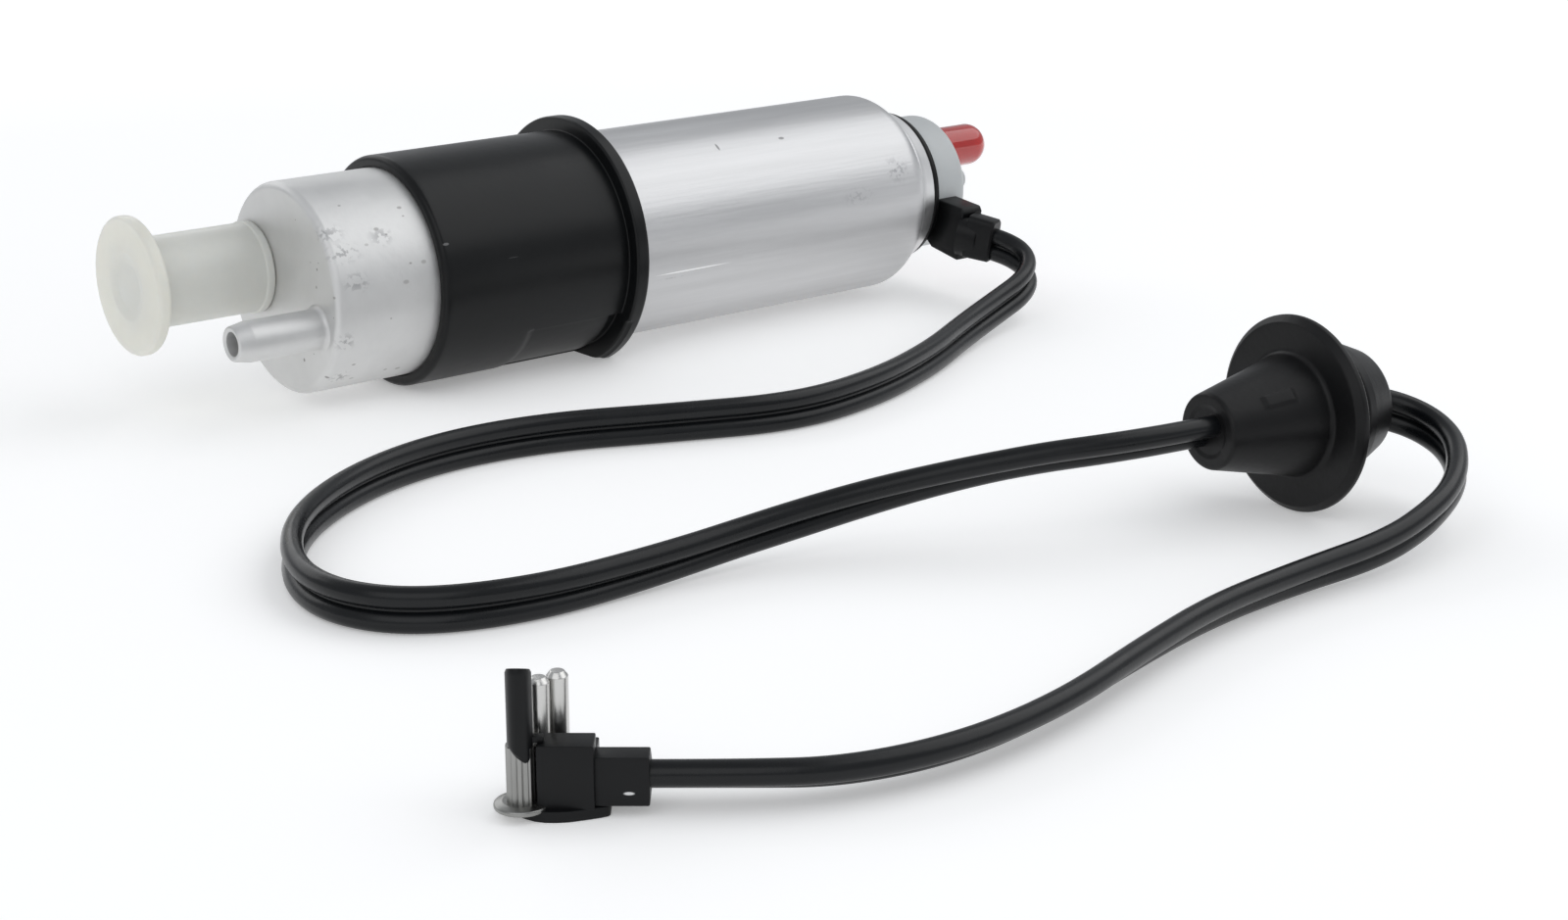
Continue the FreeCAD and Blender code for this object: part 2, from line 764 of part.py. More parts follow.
def field_magnets():
    end = magnet_start + magnet_length
    outer = magnet_inner_r + magnet_t
    magnets = []
    for side in (0, 180):
        arc = outline((
            (magnet_start, magnet_inner_r, 0.5), (magnet_start, outer), (end, outer), (end, magnet_inner_r, 0.5),
        ))
        arc = arc.revolve(V(0, 0, 0), V(1, 0, 0), magnet_span)
        arc.rotate(V(0, 0, 0), V(1, 0, 0), side - magnet_span / 2)
        magnets.append(arc)
    return Part.makeCompound(magnets)


def magnet_clips():
    """Two spring clips that press the magnets apart against the flux ring."""
    outer = magnet_inner_r + magnet_t - slip
    half = (180 - magnet_span) / 2
    clips = []
    for side in (0, 180):
        strip = outline((
            (magnet_start, outer - clip_t), (magnet_start, outer), (magnet_start + magnet_length, outer),
            (magnet_start + magnet_length, outer - clip_t),
        ))
        strip = strip.revolve(V(0, 0, 0), V(1, 0, 0), 2 * half - 1)
        strip.rotate(V(0, 0, 0), V(1, 0, 0), 90 + side - half + 0.5)
        clips.append(strip)
    return Part.makeCompound(clips)


def brush_station():
    return commutator_start + commutator_length / 2 + 1.0


def brush(side):
    middle = brush_station()
    low = commutator_r + brush_gap
    block = box((middle - brush_length_x / 2, middle + brush_length_x / 2), (-brush_width / 2, brush_width / 2),
                (low - 1.5, low + brush_height))
    block = block.cut(rod(middle - 20, middle + 20, low))
    if side < 0:
        block.rotate(V(0, 0, 0), V(1, 0, 0), 180)
    return block


def brush_spring(side):
    spring = coil(brush_top_r, brush_top_r + brush_spring_length, brush_spring_r, brush_spring_wire, 4)
    spring.rotate(V(0, 0, 0), V(0, 1, 0), -90)
    spring.translate(V(brush_station(), 0, 0))
    if side < 0:
        spring.rotate(V(0, 0, 0), V(1, 0, 0), 180)
    return spring


def brush_holder():
    """Moulded end plate with a bush seat, a skirt over the commutator and two brush boxes."""
    end = holder_end
    middle = brush_station()
    box_start = middle - brush_length_x / 2 - brush_box_wall
    body = turned((
        (holder_start, 0), (holder_start, holder_r), (holder_start + 5, holder_r), (holder_start + 5, 12),
        (end, 9), (end, 0),
    ))
    skirt = ring(box_start, holder_start + 0.5, holder_r - holder_skirt, holder_r)
    body = body.fuse(skirt)
    inner = commutator_r + 0.8
    top = holder_r - 0.5
    half = brush_width / 2 + brush_box_wall
    for side in (-1, 1):
        tower = box((box_start, holder_start + 0.5), (-half, half), sorted((side * inner, side * top)))
        body = body.fuse(tower)
    grow = slip
    ceiling = brush_top_r + brush_spring_length
    for side in (-1, 1):
        guide = box((middle - brush_length_x / 2 - grow, middle + brush_length_x / 2 + grow),
                    (-brush_width / 2 - grow, brush_width / 2 + grow), sorted((side * 4, side * ceiling)))
        body = body.cut(guide)
    body = body.cut(rod(holder_start - 2, end + 1, shaft_r + slip + bush_wall))
    body = body.cut(rod(holder_start - 20, holder_start, commutator_r + 0.7))
    for side in (-1, 1):
        slot = box((holder_start - 1, end + 1), (-terminal_width / 2 - slip, terminal_width / 2 + slip),
                   (-terminal_t / 2 - slip, terminal_t / 2 + slip))
        slot.translate(V(0, side * (shaft_r + bush_wall + 3.4), 0))
        body = body.cut(slot)
    return body


def terminal_tabs():
    tabs = []
    for side in (-1, 1):
        tab = box((holder_start + 1, holder_start + holder_length + 3), (-terminal_width / 2, terminal_width / 2),
                  (-terminal_t / 2, terminal_t / 2))
        tab.translate(V(0, side * (shaft_r + bush_wall + 3.4), 0))
        tabs.append(tab)
    return Part.makeCompound(tabs)


def place_on_row(shape):
    """Move a shape from pump stations to the row's origin under the middle of the pump."""
    shape.translate(V(-middle_x, 0, axis_z))
    return shape


def route_points():
    return [V(*point) for point in lead_route]


def twin_lead():
    lead, length, radii = swept(route_points(), lead_width / 2)
    area = math.pi * lead_width ** 2 / 4
    print("lead length", round(length, 1), "radii", [round(radius, 1) for radius in radii])
    print("lead volume over section times length", round(lead.Volume / (area * length), 5))
    return lead


def lead_connector():
    """Moulded block in the cover's pocket, with a neck along the lead's first run."""
    block = prism(connector_outline, "yz", V(connector_length, 0, 0))
    block.translate(V(connector_start, 0, 0))
    block = block.makeFillet(0.4, [edge for edge in block.Edges if edge.CenterOfMass.y < -16])
    place_on_row(block)
    points = route_points()
    back = (points[0] - points[1]).normalize()
    neck = Part.makeCone(connector_neck_r, connector_neck_r + 0.4, connector_neck_length, points[0], back)
    slab = box((0, connector_length), (-40, -10), (-40, 10))
    slab.translate(V(connector_start, 0, 0))
    place_on_row(slab)
    return block.fuse(neck.common(slab)).removeSplitter()


def lead_grommet():
    """Bulkhead grommet: tapered nose, flange, panel groove, lip and tail, round about the lead."""
    groove_start = grommet_flange_t + grommet_step_t
    lip_start = groove_start + grommet_groove_width
    tail_start = lip_start + grommet_lip_width
    body = turned((
        (-grommet_cone_length, grommet_bore_r), (-grommet_cone_length, grommet_mouth_r, 0.6),
        (0, grommet_cone_r, 0.8), (0, grommet_flange_r, 0.7), (grommet_flange_t, grommet_flange_r, 0.9),
        (grommet_flange_t, grommet_step_r), (groove_start, grommet_step_r, 0.6),
        (groove_start, grommet_groove_r), (lip_start, grommet_groove_r),
        (lip_start, grommet_lip_r, 0.6), (tail_start, grommet_lip_r - 0.6, 0.8),
        (tail_start + grommet_tail_length, grommet_tail_r, 1.2), (tail_start + grommet_tail_length, grommet_bore_r),
    ))
    mouth = rod(-grommet_cone_length - 1, -grommet_cone_length + grommet_mouth_depth, grommet_mouth_bore)
    body = body.cut(mouth)
    body.rotate(V(0, 0, 0), V(0, 0, 1), grommet_turn - 180)
    body.translate(V(grommet_x, grommet_y, grommet_flange_r))
    return body


def place_plug(shape):
    """Move a plug piece from its own axes, length by depth by height, to where the plug stands."""
    shape.rotate(V(0, 0, 0), V(0, 0, 1), plug_turn)
    shape.translate(V(plug_x, plug_y, 0))
    return shape


def plug_body():
    base = prism((
        (base_left, 0, 4.0), (base_left + base_length, 0, 1.0),
        (base_left + base_length, base_depth, 1.0), (base_left, base_depth, 4.0),
    ), "xy", V(0, 0, base_t))
    body_right = body_left + body_length
    body = box((body_left, body_right), (body_front, body_front + body_depth), (base_t - 0.5, body_height))
    back = box((body_left - 1.8, body_left + 1), (body_front + wall_depth, body_front + body_depth),
               (base_t - 0.5, body_height))
    wall = box((body_left, body_right), (body_front, body_front + wall_depth), (base_t, wall_height))
    rear = prism((
        (rear_front, base_t + slip), (rear_front, rear_height), (rear_front + rear_flat, rear_height),
        (rear_front + rear_depth, base_t + slip + 2.3), (rear_front + rear_depth, base_t + slip),
    ), "yz", V(rear_length + 0.5, 0, 0))
    rear.translate(V(body_right - 0.5, 0, 0))
    solid = base.fuse([body, back, wall, rear]).removeSplitter()
    cuts = [Part.makeCylinder(column_r + working, 40, V(screw_u, screw_w, base_t), V(0, 0, 1))]
    cuts.append(Part.makeCylinder(screw_disc_r + working, screw_disc_t + 0.6, V(screw_u, screw_w, base_t),
                                  V(0, 0, 1)))
    cuts.append(Part.makeCylinder(screw_shank_r + working, 10, V(screw_u, screw_w, -1), V(0, 0, 1)))
    for u, w in zip(pin_u, pin_w):
        cuts.append(Part.makeCylinder(pin_r, 30, V(u, w, pin_root), V(0, 0, 1)))
    cuts.append(box((body_right + 3.6, body_right + 5.0), (rear_front - 1, rear_front + 1.2), (3.3, 3.7)))
    return place_plug(solid.cut(cuts))


def plug_pins():
    pins = []
    for u, w in zip(pin_u, pin_w):
        pin = Part.makeCylinder(pin_r, pin_top - pin_root, V(u, w, pin_root), V(0, 0, 1))
        tip = [edge for edge in pin.Edges if abs(edge.CenterOfMass.z - pin_top) < 1e-3]
        pins.append(place_plug(pin.makeChamfer(pin_edge, tip)))
    return Part.makeCompound(pins)


def plug_screw():
    """Fixing screw: flanged head under a ribbed column, with a plain shank up through the guide."""
    low = base_t + slip
    disc = Part.makeCylinder(screw_disc_r, screw_disc_t, V(screw_u, screw_w, low), V(0, 0, 1))
    rim = [edge for edge in disc.Edges if abs(edge.CenterOfMass.z - low - screw_disc_t) < 1e-3]
    screw = disc.makeFillet(0.25, rim)
    screw = screw.fuse(Part.makeCylinder(column_r, column_top - low - working, V(screw_u, screw_w, low), V(0, 0, 1)))
    for index in range(column_ribs):
        turn = 2 * math.pi * index / column_ribs
        groove = Part.makeCylinder(0.22, 30, V(screw_u + column_r * math.cos(turn), screw_w + column_r * math.sin(turn),
                                               low + screw_disc_t), V(0, 0, 1))
        screw = screw.cut(groove)
    shank = Part.makeCylinder(screw_shank_r, shank_top - slip - low, V(screw_u, screw_w, low), V(0, 0, 1))
    return place_plug(screw.fuse(shank).removeSplitter())


def screw_guide():
    """Black guide over the screw: its top slants down to the back and its foot is cut to a point in front."""
    height = guide_top - guide_low
    tube = Part.makeCylinder(guide_r, height, V(screw_u, screw_w, guide_low), V(0, 0, 1))
    front = Part.makeCylinder(guide_front_r, height, V(screw_u, screw_w, guide_low), V(0, 0, 1))
    width = (screw_u - guide_r, screw_u + guide_r)
    tube = tube.fuse(front.common(box(width, (screw_w - 5, screw_w), (guide_low, guide_top))))
    tube = tube.cut(box((screw_u - 5, screw_u + 5), (screw_w, screw_w + 5), (guide_low - 1, column_top)))
    top = prism((
        (screw_w - guide_front_r, guide_top), (screw_w + guide_r, guide_top - guide_slant), (screw_w + 3, guide_top),
        (screw_w + 3, guide_top + 3), (screw_w - guide_front_r - 1, guide_top + 3),
        (screw_w - guide_front_r - 1, guide_top),
    ), "yz", V(10, 0, 0))
    top.translate(V(screw_u - 5, 0, 0))
    foot = prism((
        (screw_u - 3, guide_low + guide_point), (screw_u + guide_tip, guide_low), (screw_u + 3, guide_low + guide_point),
        (screw_u + 3, guide_low - 2), (screw_u - 3, guide_low - 2),
    ), "xz", V(0, 10, 0))
    foot.translate(V(0, screw_w - 5, 0))
    hollow = Part.makeCylinder(column_r + slip, column_top - guide_low + 1, V(screw_u, screw_w, guide_low - 1), V(0, 0, 1))
    bore = Part.makeCylinder(screw_shank_r + slip, shank_top - guide_low, V(screw_u, screw_w, guide_low), V(0, 0, 1))
    tube = tube.cut([top, foot, bore, hollow])
    reach = (screw_u + guide_r - 0.4, body_left + 0.9)
    arm = box(reach, (screw_w - 0.6, screw_w + 0.6), (wall_height, guide_top - 6))
    return place_plug(tube.fuse(arm).removeSplitter())


row_pieces = {
    "inlet_housing": inlet_housing, "inlet_strainer": inlet_strainer, "motor_can": motor_can,
    "isolating_sleeve": isolating_sleeve, "housing_seal": housing_seal, "can_end_seal": can_end_seal,
    "outlet_cover": outlet_cover, "check_valve": check_valve, "check_spring": check_spring,
    "outlet_cap": outlet_cap, "inlet_cap": inlet_cap, "inner_rotor": inner_rotor, "outer_rotor": outer_rotor,
    "pump_base": pump_base, "rotor_ring": rotor_ring, "pump_cover": pump_cover, "stack_screws": stack_screws,
    "relief_ball": relief_ball, "relief_spring": relief_spring, "shaft_bushes": shaft_bushes,
    "armature_shaft": armature_shaft, "thrust_washers": thrust_washers, "armature_core": armature_core,
    "armature_windings": armature_windings, "commutator": commutator, "flux_ring": flux_ring,
    "field_magnets": field_magnets, "magnet_clips": magnet_clips, "brush_holder": brush_holder,
    "terminal_tabs": terminal_tabs,
}
floor_pieces = {
    "twin_lead": twin_lead, "lead_connector": lead_connector, "lead_grommet": lead_grommet,
    "plug_body": plug_body, "plug_pins": plug_pins, "plug_screw": plug_screw, "screw_guide": screw_guide,
}


def build():
    os.makedirs("parts", exist_ok=True)
    pieces = {name: place_on_row(make()) for name, make in row_pieces.items()}
    for name, side in (("brush_upper", 1), ("brush_lower", -1)):
        pieces[name] = place_on_row(brush(side))
        pieces[name.replace("brush", "brush_spring")] = place_on_row(brush_spring(side))
    pieces.update({name: make() for name, make in floor_pieces.items()})
    for name, shape in pieces.items():
        shape.exportStep("parts/" + name + ".step")


build()
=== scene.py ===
"""Looks of the in-line fuel pump, its transit caps and its twin lead, laid out as photographed."""

import json
import math
import random

import bmesh
import bpy
from mathutils import Matrix, Vector


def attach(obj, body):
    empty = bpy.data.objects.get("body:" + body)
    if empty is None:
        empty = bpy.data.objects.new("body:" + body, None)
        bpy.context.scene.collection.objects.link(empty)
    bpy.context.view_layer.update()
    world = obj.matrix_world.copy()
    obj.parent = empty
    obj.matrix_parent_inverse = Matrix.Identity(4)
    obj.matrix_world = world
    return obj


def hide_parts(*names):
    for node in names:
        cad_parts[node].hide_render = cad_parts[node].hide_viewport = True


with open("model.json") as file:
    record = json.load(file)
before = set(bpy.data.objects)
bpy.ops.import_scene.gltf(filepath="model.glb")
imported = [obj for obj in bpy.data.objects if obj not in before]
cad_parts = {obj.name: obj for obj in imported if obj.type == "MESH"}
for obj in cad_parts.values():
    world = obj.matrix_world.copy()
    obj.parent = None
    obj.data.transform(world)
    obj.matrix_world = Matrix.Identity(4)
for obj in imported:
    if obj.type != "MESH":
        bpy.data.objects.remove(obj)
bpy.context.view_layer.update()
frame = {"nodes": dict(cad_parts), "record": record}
random.seed(7)

# Lengths are in millimetres. Stations run along the pump from its inlet face, and radii are from its axis.
# A pair such as SPIGOT is the place of a stub's own axis, sideways and up from the pump's.

MM = 0.001
UP = Vector((0, 0, 1))
AXIS_Z = 22.9
MIDDLE = 78.0
pump_place = Matrix.Translation((-MIDDLE, 0, AXIS_Z))

HOUSING_R = 20.5
CAN_R = 21.5
SLEEVE_R = 22.85
COVER_R = 14.9
CAN_START = 36
CAN_END = 154.7
COVER_START = 156.2
COVER_END = 165.9

SPIGOT = (10.9, 2.5)
NIPPLE = (-12.7, -5.35)
PORT = (-1.0, 6.9)
LOBE = (-9.5, 1.5)


# Camera

photo_width = 1600
focal_pixels = 2689.07
camera_tilt = 17.297
camera_turn = -39.864
camera_data = bpy.data.cameras.new("camera")
camera_data.sensor_width = 36.0
camera_data.lens = focal_pixels / photo_width * camera_data.sensor_width
camera_data.clip_start = 0.01
camera = bpy.data.objects.new("camera", camera_data)
camera.location = (-0.31851, -0.43735, 0.14123)
camera.rotation_euler = (math.radians(90 - camera_tilt), 0, math.radians(camera_turn))
bpy.context.scene.collection.objects.link(camera)
bpy.context.scene.camera = camera


# Materials

def finish(name, colour, rough, metal=0.0, vary=0.06, rough_vary=0.06, grain=40.0, stretch=(1, 1, 1),
           bump=0.02, coat=0.0, clear=0.0, scatter=0.0, ior=1.5, gloss=0.5):
    """A surface whose tone, roughness and height all wander with procedural noise."""
    made = bpy.data.materials.new(name)
    made.use_nodes = True
    nodes = made.node_tree.nodes
    links = made.node_tree.links
    shader = nodes["Principled BSDF"]
    place = nodes.new("ShaderNodeTexCoord")
    mapping = nodes.new("ShaderNodeMapping")
    mapping.inputs["Scale"].default_value = tuple(grain * s for s in stretch)
    links.new(place.outputs["Object"], mapping.inputs["Vector"])
    noise = nodes.new("ShaderNodeTexNoise")
    noise.inputs["Scale"].default_value = 1.0
    noise.inputs["Detail"].default_value = 6.0
    noise.inputs["Roughness"].default_value = 0.6
    links.new(mapping.outputs["Vector"], noise.inputs["Vector"])
    tone = nodes.new("ShaderNodeValToRGB")
    dark = [max(0.0, c * (1 - vary)) for c in colour]
    light = [min(1.0, c * (1 + vary)) for c in colour]
    tone.color_ramp.elements[0].position = 0.3
    tone.color_ramp.elements[0].color = (*dark, 1)
    tone.color_ramp.elements[1].position = 0.7
    tone.color_ramp.elements[1].color = (*light, 1)
    links.new(noise.outputs["Fac"], tone.inputs["Fac"])
    links.new(tone.outputs["Color"], shader.inputs["Base Color"])
    spread = nodes.new("ShaderNodeMapRange")
    spread.inputs["From Min"].default_value = 0.3
    spread.inputs["From Max"].default_value = 0.7
    spread.inputs["To Min"].default_value = max(0.02, rough - rough_vary)
    spread.inputs["To Max"].default_value = rough + rough_vary
    links.new(noise.outputs["Fac"], spread.inputs["Value"])
    links.new(spread.outputs["Result"], shader.inputs["Roughness"])
    fine = nodes.new("ShaderNodeTexNoise")
    fine.inputs["Scale"].default_value = 9.0
    fine.inputs["Detail"].default_value = 4.0
    links.new(mapping.outputs["Vector"], fine.inputs["Vector"])
    height = nodes.new("ShaderNodeBump")
    height.inputs["Strength"].default_value = bump
    height.inputs["Distance"].default_value = 0.0005
    links.new(fine.outputs["Fac"], height.inputs["Height"])
    links.new(height.outputs["Normal"], shader.inputs["Normal"])
    shader.inputs["Metallic"].default_value = metal
    shader.inputs["Coat Weight"].default_value = coat
    shader.inputs["Transmission Weight"].default_value = clear
    shader.inputs["Subsurface Weight"].default_value = scatter
    shader.inputs["Subsurface Scale"].default_value = 0.004
    shader.inputs["Subsurface Radius"].default_value = (1, 0.9, 0.8)
    shader.inputs["IOR"].default_value = ior
    shader.inputs["Specular IOR Level"].default_value = gloss
    return made


looks = {
    "pale_casting": finish("pale_casting", (0.68, 0.68, 0.675), rough=0.5, metal=0.75, vary=0.08,
                           rough_vary=0.08, grain=60, bump=0.12),
    "plated_can": finish("plated_can", (0.62, 0.62, 0.625), rough=0.43, metal=0.95, vary=0.12,
                         rough_vary=0.06, grain=60, stretch=(0.14, 2.4, 2.4), bump=0.1),
    "ground_steel": finish("ground_steel", (0.52, 0.52, 0.53), rough=0.3, metal=1.0, vary=0.08,
                           rough_vary=0.06, grain=90, stretch=(1, 3, 3), bump=0.05),
    "bright_steel": finish("bright_steel", (0.6, 0.595, 0.58), rough=0.25, metal=1.0, vary=0.05,
                           rough_vary=0.05, grain=120, stretch=(1, 1, 0.3), bump=0.03),
    "worn_steel": finish("worn_steel", (0.3, 0.3, 0.29), rough=0.3, metal=1.0, vary=0.2, rough_vary=0.08,
                         grain=150, stretch=(1, 1, 0.2), bump=0.06),
    "alloy_plate": finish("alloy_plate", (0.68, 0.68, 0.69), rough=0.35, metal=1.0, vary=0.06,
                          rough_vary=0.06, grain=80, bump=0.06),
    "brass_parts": finish("brass_parts", (0.72, 0.52, 0.25), rough=0.28, metal=1.0, vary=0.08,
                          rough_vary=0.06, grain=80, bump=0.04),
    "copper_wire": finish("copper_wire", (0.6, 0.27, 0.13), rough=0.35, metal=1.0, vary=0.15,
                          rough_vary=0.08, grain=200, stretch=(6, 1, 1), bump=0.3),
    "dark_magnet": finish("dark_magnet", (0.07, 0.07, 0.075), rough=0.5, metal=0.3, vary=0.2,
                          rough_vary=0.08, grain=150, bump=0.1),
    "carbon": finish("carbon", (0.06, 0.06, 0.06), rough=0.6, vary=0.25, rough_vary=0.1, grain=300,
                     bump=0.1),
    "black_plastic": finish("black_plastic", (0.005, 0.0054, 0.006), rough=0.4, vary=0.25,
                            rough_vary=0.06, grain=70, bump=0.06, gloss=0.22),
    "sleeve_black": finish("sleeve_black", (0.004, 0.0045, 0.005), rough=0.33, vary=0.25, rough_vary=0.05,
                           grain=50, bump=0.05, gloss=0.24),
    "white_plastic": finish("white_plastic", (0.5, 0.52, 0.525), rough=0.42, vary=0.04, rough_vary=0.05,
                            grain=60, bump=0.04, scatter=0.15),
    "natural_plastic": finish("natural_plastic", (0.74, 0.72, 0.64), rough=0.45, vary=0.05,
                              rough_vary=0.05, grain=60, bump=0.04),
    "clear_cap": finish("clear_cap", (0.86, 0.85, 0.77), rough=0.34, vary=0.04, rough_vary=0.06, grain=90,
                        bump=0.05, clear=0.15, scatter=0.6, ior=1.48),
    "red_cap": finish("red_cap", (0.5, 0.012, 0.01), rough=0.15, vary=0.15, rough_vary=0.05, grain=80,
                      bump=0.03, coat=0.8, clear=0.1, scatter=0.1),
    "black_rubber": finish("black_rubber", (0.005, 0.005, 0.0055), rough=0.4, vary=0.2, rough_vary=0.07,
                           grain=90, bump=0.08, gloss=0.24),
    "lead_jacket": finish("lead_jacket", (0.005, 0.0058, 0.0068), rough=0.28, vary=0.2, rough_vary=0.05,
                          grain=100, bump=0.04, gloss=0.3),
}


def gritty_amount(nodes, links, place, edge):
    """Softens a mark, breaks it up with fine noise and returns the socket that holds its amount."""
    grit = nodes.new("ShaderNodeTexNoise")
    grit.inputs["Scale"].default_value = 1000
    grit.inputs["Detail"].default_value = 3.0
    links.new(place.outputs["Object"], grit.inputs["Vector"])
    broken = nodes.new("ShaderNodeMapRange")
    broken.inputs["From Min"].default_value = 0.5
    broken.inputs["From Max"].default_value = 0.56
    links.new(grit.outputs["Fac"], broken.inputs["Value"])
    edge.interpolation_type = "SMOOTHSTEP"
    edge.inputs["From Max"].default_value = 0.0
    both = nodes.new("ShaderNodeMath")
    both.operation = "MULTIPLY"
    links.new(edge.outputs["Result"], both.inputs[0])
    links.new(broken.outputs["Result"], both.inputs[1])
    return both.outputs["Value"]


def add_marks_and_painted_highlights(look, spots, gritty=False):
    """Adds marks and painted highlights to a finish, each an ellipsoid (centre, half sizes, colour, amount),
    whole or gritty.
    """
    nodes = looks[look].node_tree.nodes
    links = looks[look].node_tree.links
    base = nodes["Principled BSDF"].inputs["Base Color"]
    place = nodes.new("ShaderNodeTexCoord")
    for centre, size, colour, amount in spots:
        shift = nodes.new("ShaderNodeVectorMath")
        shift.operation = "SUBTRACT"
        shift.inputs[1].default_value = tuple(c * MM for c in centre)
        links.new(place.outputs["Object"], shift.inputs[0])
        shrink = nodes.new("ShaderNodeVectorMath")
        shrink.operation = "DIVIDE"
        shrink.inputs[1].default_value = tuple(c * MM for c in size)
        links.new(shift.outputs["Vector"], shrink.inputs[0])
        reach = nodes.new("ShaderNodeVectorMath")
        reach.operation = "LENGTH"
        links.new(shrink.outputs["Vector"], reach.inputs[0])
        edge = nodes.new("ShaderNodeMapRange")
        edge.inputs["From Min"].default_value = 1.0
        edge.inputs["From Max"].default_value = 0.6
        edge.inputs["To Min"].default_value = 0.0
        edge.inputs["To Max"].default_value = amount
        links.new(reach.outputs["Value"], edge.inputs["Value"])
        strength = gritty_amount(nodes, links, place, edge) if gritty else edge.outputs["Result"]
        mix = nodes.new("ShaderNodeMix")
        mix.data_type = "RGBA"
        links.new(strength, mix.inputs["Factor"])
        links.new(base.links[0].from_socket, mix.inputs["A"])
        mix.inputs["B"].default_value = (*colour, 1)
        links.new(mix.outputs["Result"], base)


def around_pump(x, radius, turn):
    """A place at a turn about the pump's axis, in the shared frame."""
    return x, radius * math.cos(turn), AXIS_Z + radius * math.sin(turn)


# Dark specks on the casting, first about the edge of its face and then along its side.

specks = []
for number in range(26):
    turn = math.radians(random.uniform(110, 290))
    ring_r = random.uniform(12.0, 20.3)
    size = random.uniform(0.12, 0.42)
    specks.append((around_pump(random.uniform(-78.2, -75.5), ring_r, turn),
                   (1.0, size, size * random.uniform(0.6, 1.6)), (0.16, 0.15, 0.14),
                   random.uniform(0.35, 0.8)))
for number in range(16):
    turn = math.radians(random.uniform(120, 250))
    size = random.uniform(0.15, 0.5)
    specks.append((around_pump(random.uniform(-76.0, -58.0), HOUSING_R, turn),
                   (size * 1.6, size, size), (0.2, 0.19, 0.18), random.uniform(0.3, 0.6)))
scuffs = []
for turn, x, length in ((140, -76.5, 4.5), (152, -75.0, 5.5), (168, -73.5, 4.0), (200, -76.0, 3.0),
                        (228, -74.5, 3.0), (146, -66.0, 3.5)):
    scuffs.append((around_pump(x, HOUSING_R, math.radians(turn)), (length, 3.0, 2.6), (0.2, 0.2, 0.21), 0.5))
add_marks_and_painted_highlights("pale_casting", specks)
add_marks_and_painted_highlights("pale_casting", scuffs, gritty=True)

can_scratches = [
    ((4.95, -20.95, 18.06), (10.5, 1.2, 0.2), (1.0, 1.0, 1.0), 0.95),
    ((18.4, -12.3, 40.5), (0.35, 1.3, 1.0), (0.12, 0.12, 0.12), 0.7),
    ((35.5, -12.5, 40.4), (0.9, 0.5, 0.4), (0.15, 0.15, 0.15), 0.7),
]
can_scuffs = [
    ((62.0, -19.6, 31.5), (4.5, 3.0, 4.0), (0.2, 0.2, 0.22), 0.55),
    ((50.0, -20.5, 27.0), (6.0, 2.0, 3.0), (0.25, 0.25, 0.27), 0.4),
    ((0.0, -20.6, 17.0), (5.0, 1.2, 0.14), (0.25, 0.25, 0.25), 0.5),
]
# Lighter band all round the can's neck, between the crease and the seal: a painted highlight that stands in
# for the bright band of reflected light there.
neck_painted_highlight = ((74.2, 0.0, AXIS_Z), (2.6, 40, 40), (0.8, 0.8, 0.8), 0.7)
add_marks_and_painted_highlights("plated_can", can_scratches)
add_marks_and_painted_highlights("plated_can", can_scuffs, gritty=True)
add_marks_and_painted_highlights("plated_can", [neck_painted_highlight])

plug_slot = ((-139.66, -192.96, 3.4), (0.8, 0.8, 0.26), (0.8, 0.8, 0.8), 0.9)
add_marks_and_painted_highlights("black_plastic", [plug_slot])

sleeve_nick = ((-54.3, -20.9, 31.8), (0.8, 0.8, 0.3), (0.25, 0.25, 0.25), 0.5)
sleeve_scratch = ((-40.0, -22.3, 27.4), (1.4, 0.8, 0.08), (0.12, 0.12, 0.12), 0.4)
add_marks_and_painted_highlights("sleeve_black", [sleeve_nick, sleeve_scratch])


# Shapes

def rounded(points, steps=6):
    """Corner list (a, b, radius) as a fine outline of (a, b), with tangent arcs at the rounded corners."""
    made = []
    count = len(points)
    for index, point in enumerate(points):
        corner = Vector(point[:2])
        radius = point[2] if len(point) > 2 else 0
        if not radius or index in (0, count - 1):
            made.append(tuple(corner))
            continue
        back = (Vector(points[index - 1][:2]) - corner).normalized()
        ahead = (Vector(points[index + 1][:2]) - corner).normalized()
        half = math.acos(max(-1.0, min(1.0, back.dot(ahead)))) / 2
        reach = radius / math.tan(half)
        centre = corner + (back + ahead).normalized() * (radius / math.sin(half))
        first = corner + back * reach - centre
        last = corner + ahead * reach - centre
        for step in range(steps + 1):
            share = step / steps
            spoke = first * (1 - share) + last * share
            made.append(tuple(centre + spoke.normalized() * radius))
    return made


def finer(outline, span):
    """Adds points so that no step along the outline is longer than span."""
    made = [outline[0]]
    for before, after in zip(outline, outline[1:]):
        parts = max(1, math.ceil(math.dist(before, after) / span))
        for part in range(1, parts + 1):
            share = part / parts
            made.append(tuple(a + (b - a) * share for a, b in zip(before, after)))
    return made


def lathe_mesh(outline, centre=(0, 0), segments=160, mark=None):
    """Vertices and faces of an outline (station, radius) turned about a line along the pump."""
    verts = []
    faces = []
    rows = len(outline)
    for segment in range(segments):
        turn = 2 * math.pi * segment / segments
        for station, radius in outline:
            if mark:
                station, radius = mark(station, radius, turn)
            verts.append(Vector((station, centre[0] + radius * math.cos(turn),
                                 centre[1] + radius * math.sin(turn))))
    for segment in range(segments):
        following = (segment + 1) % segments
        for row in range(rows - 1):
            faces.append((segment * rows + row, segment * rows + row + 1,
                          following * rows + row + 1, following * rows + row))
    return verts, faces


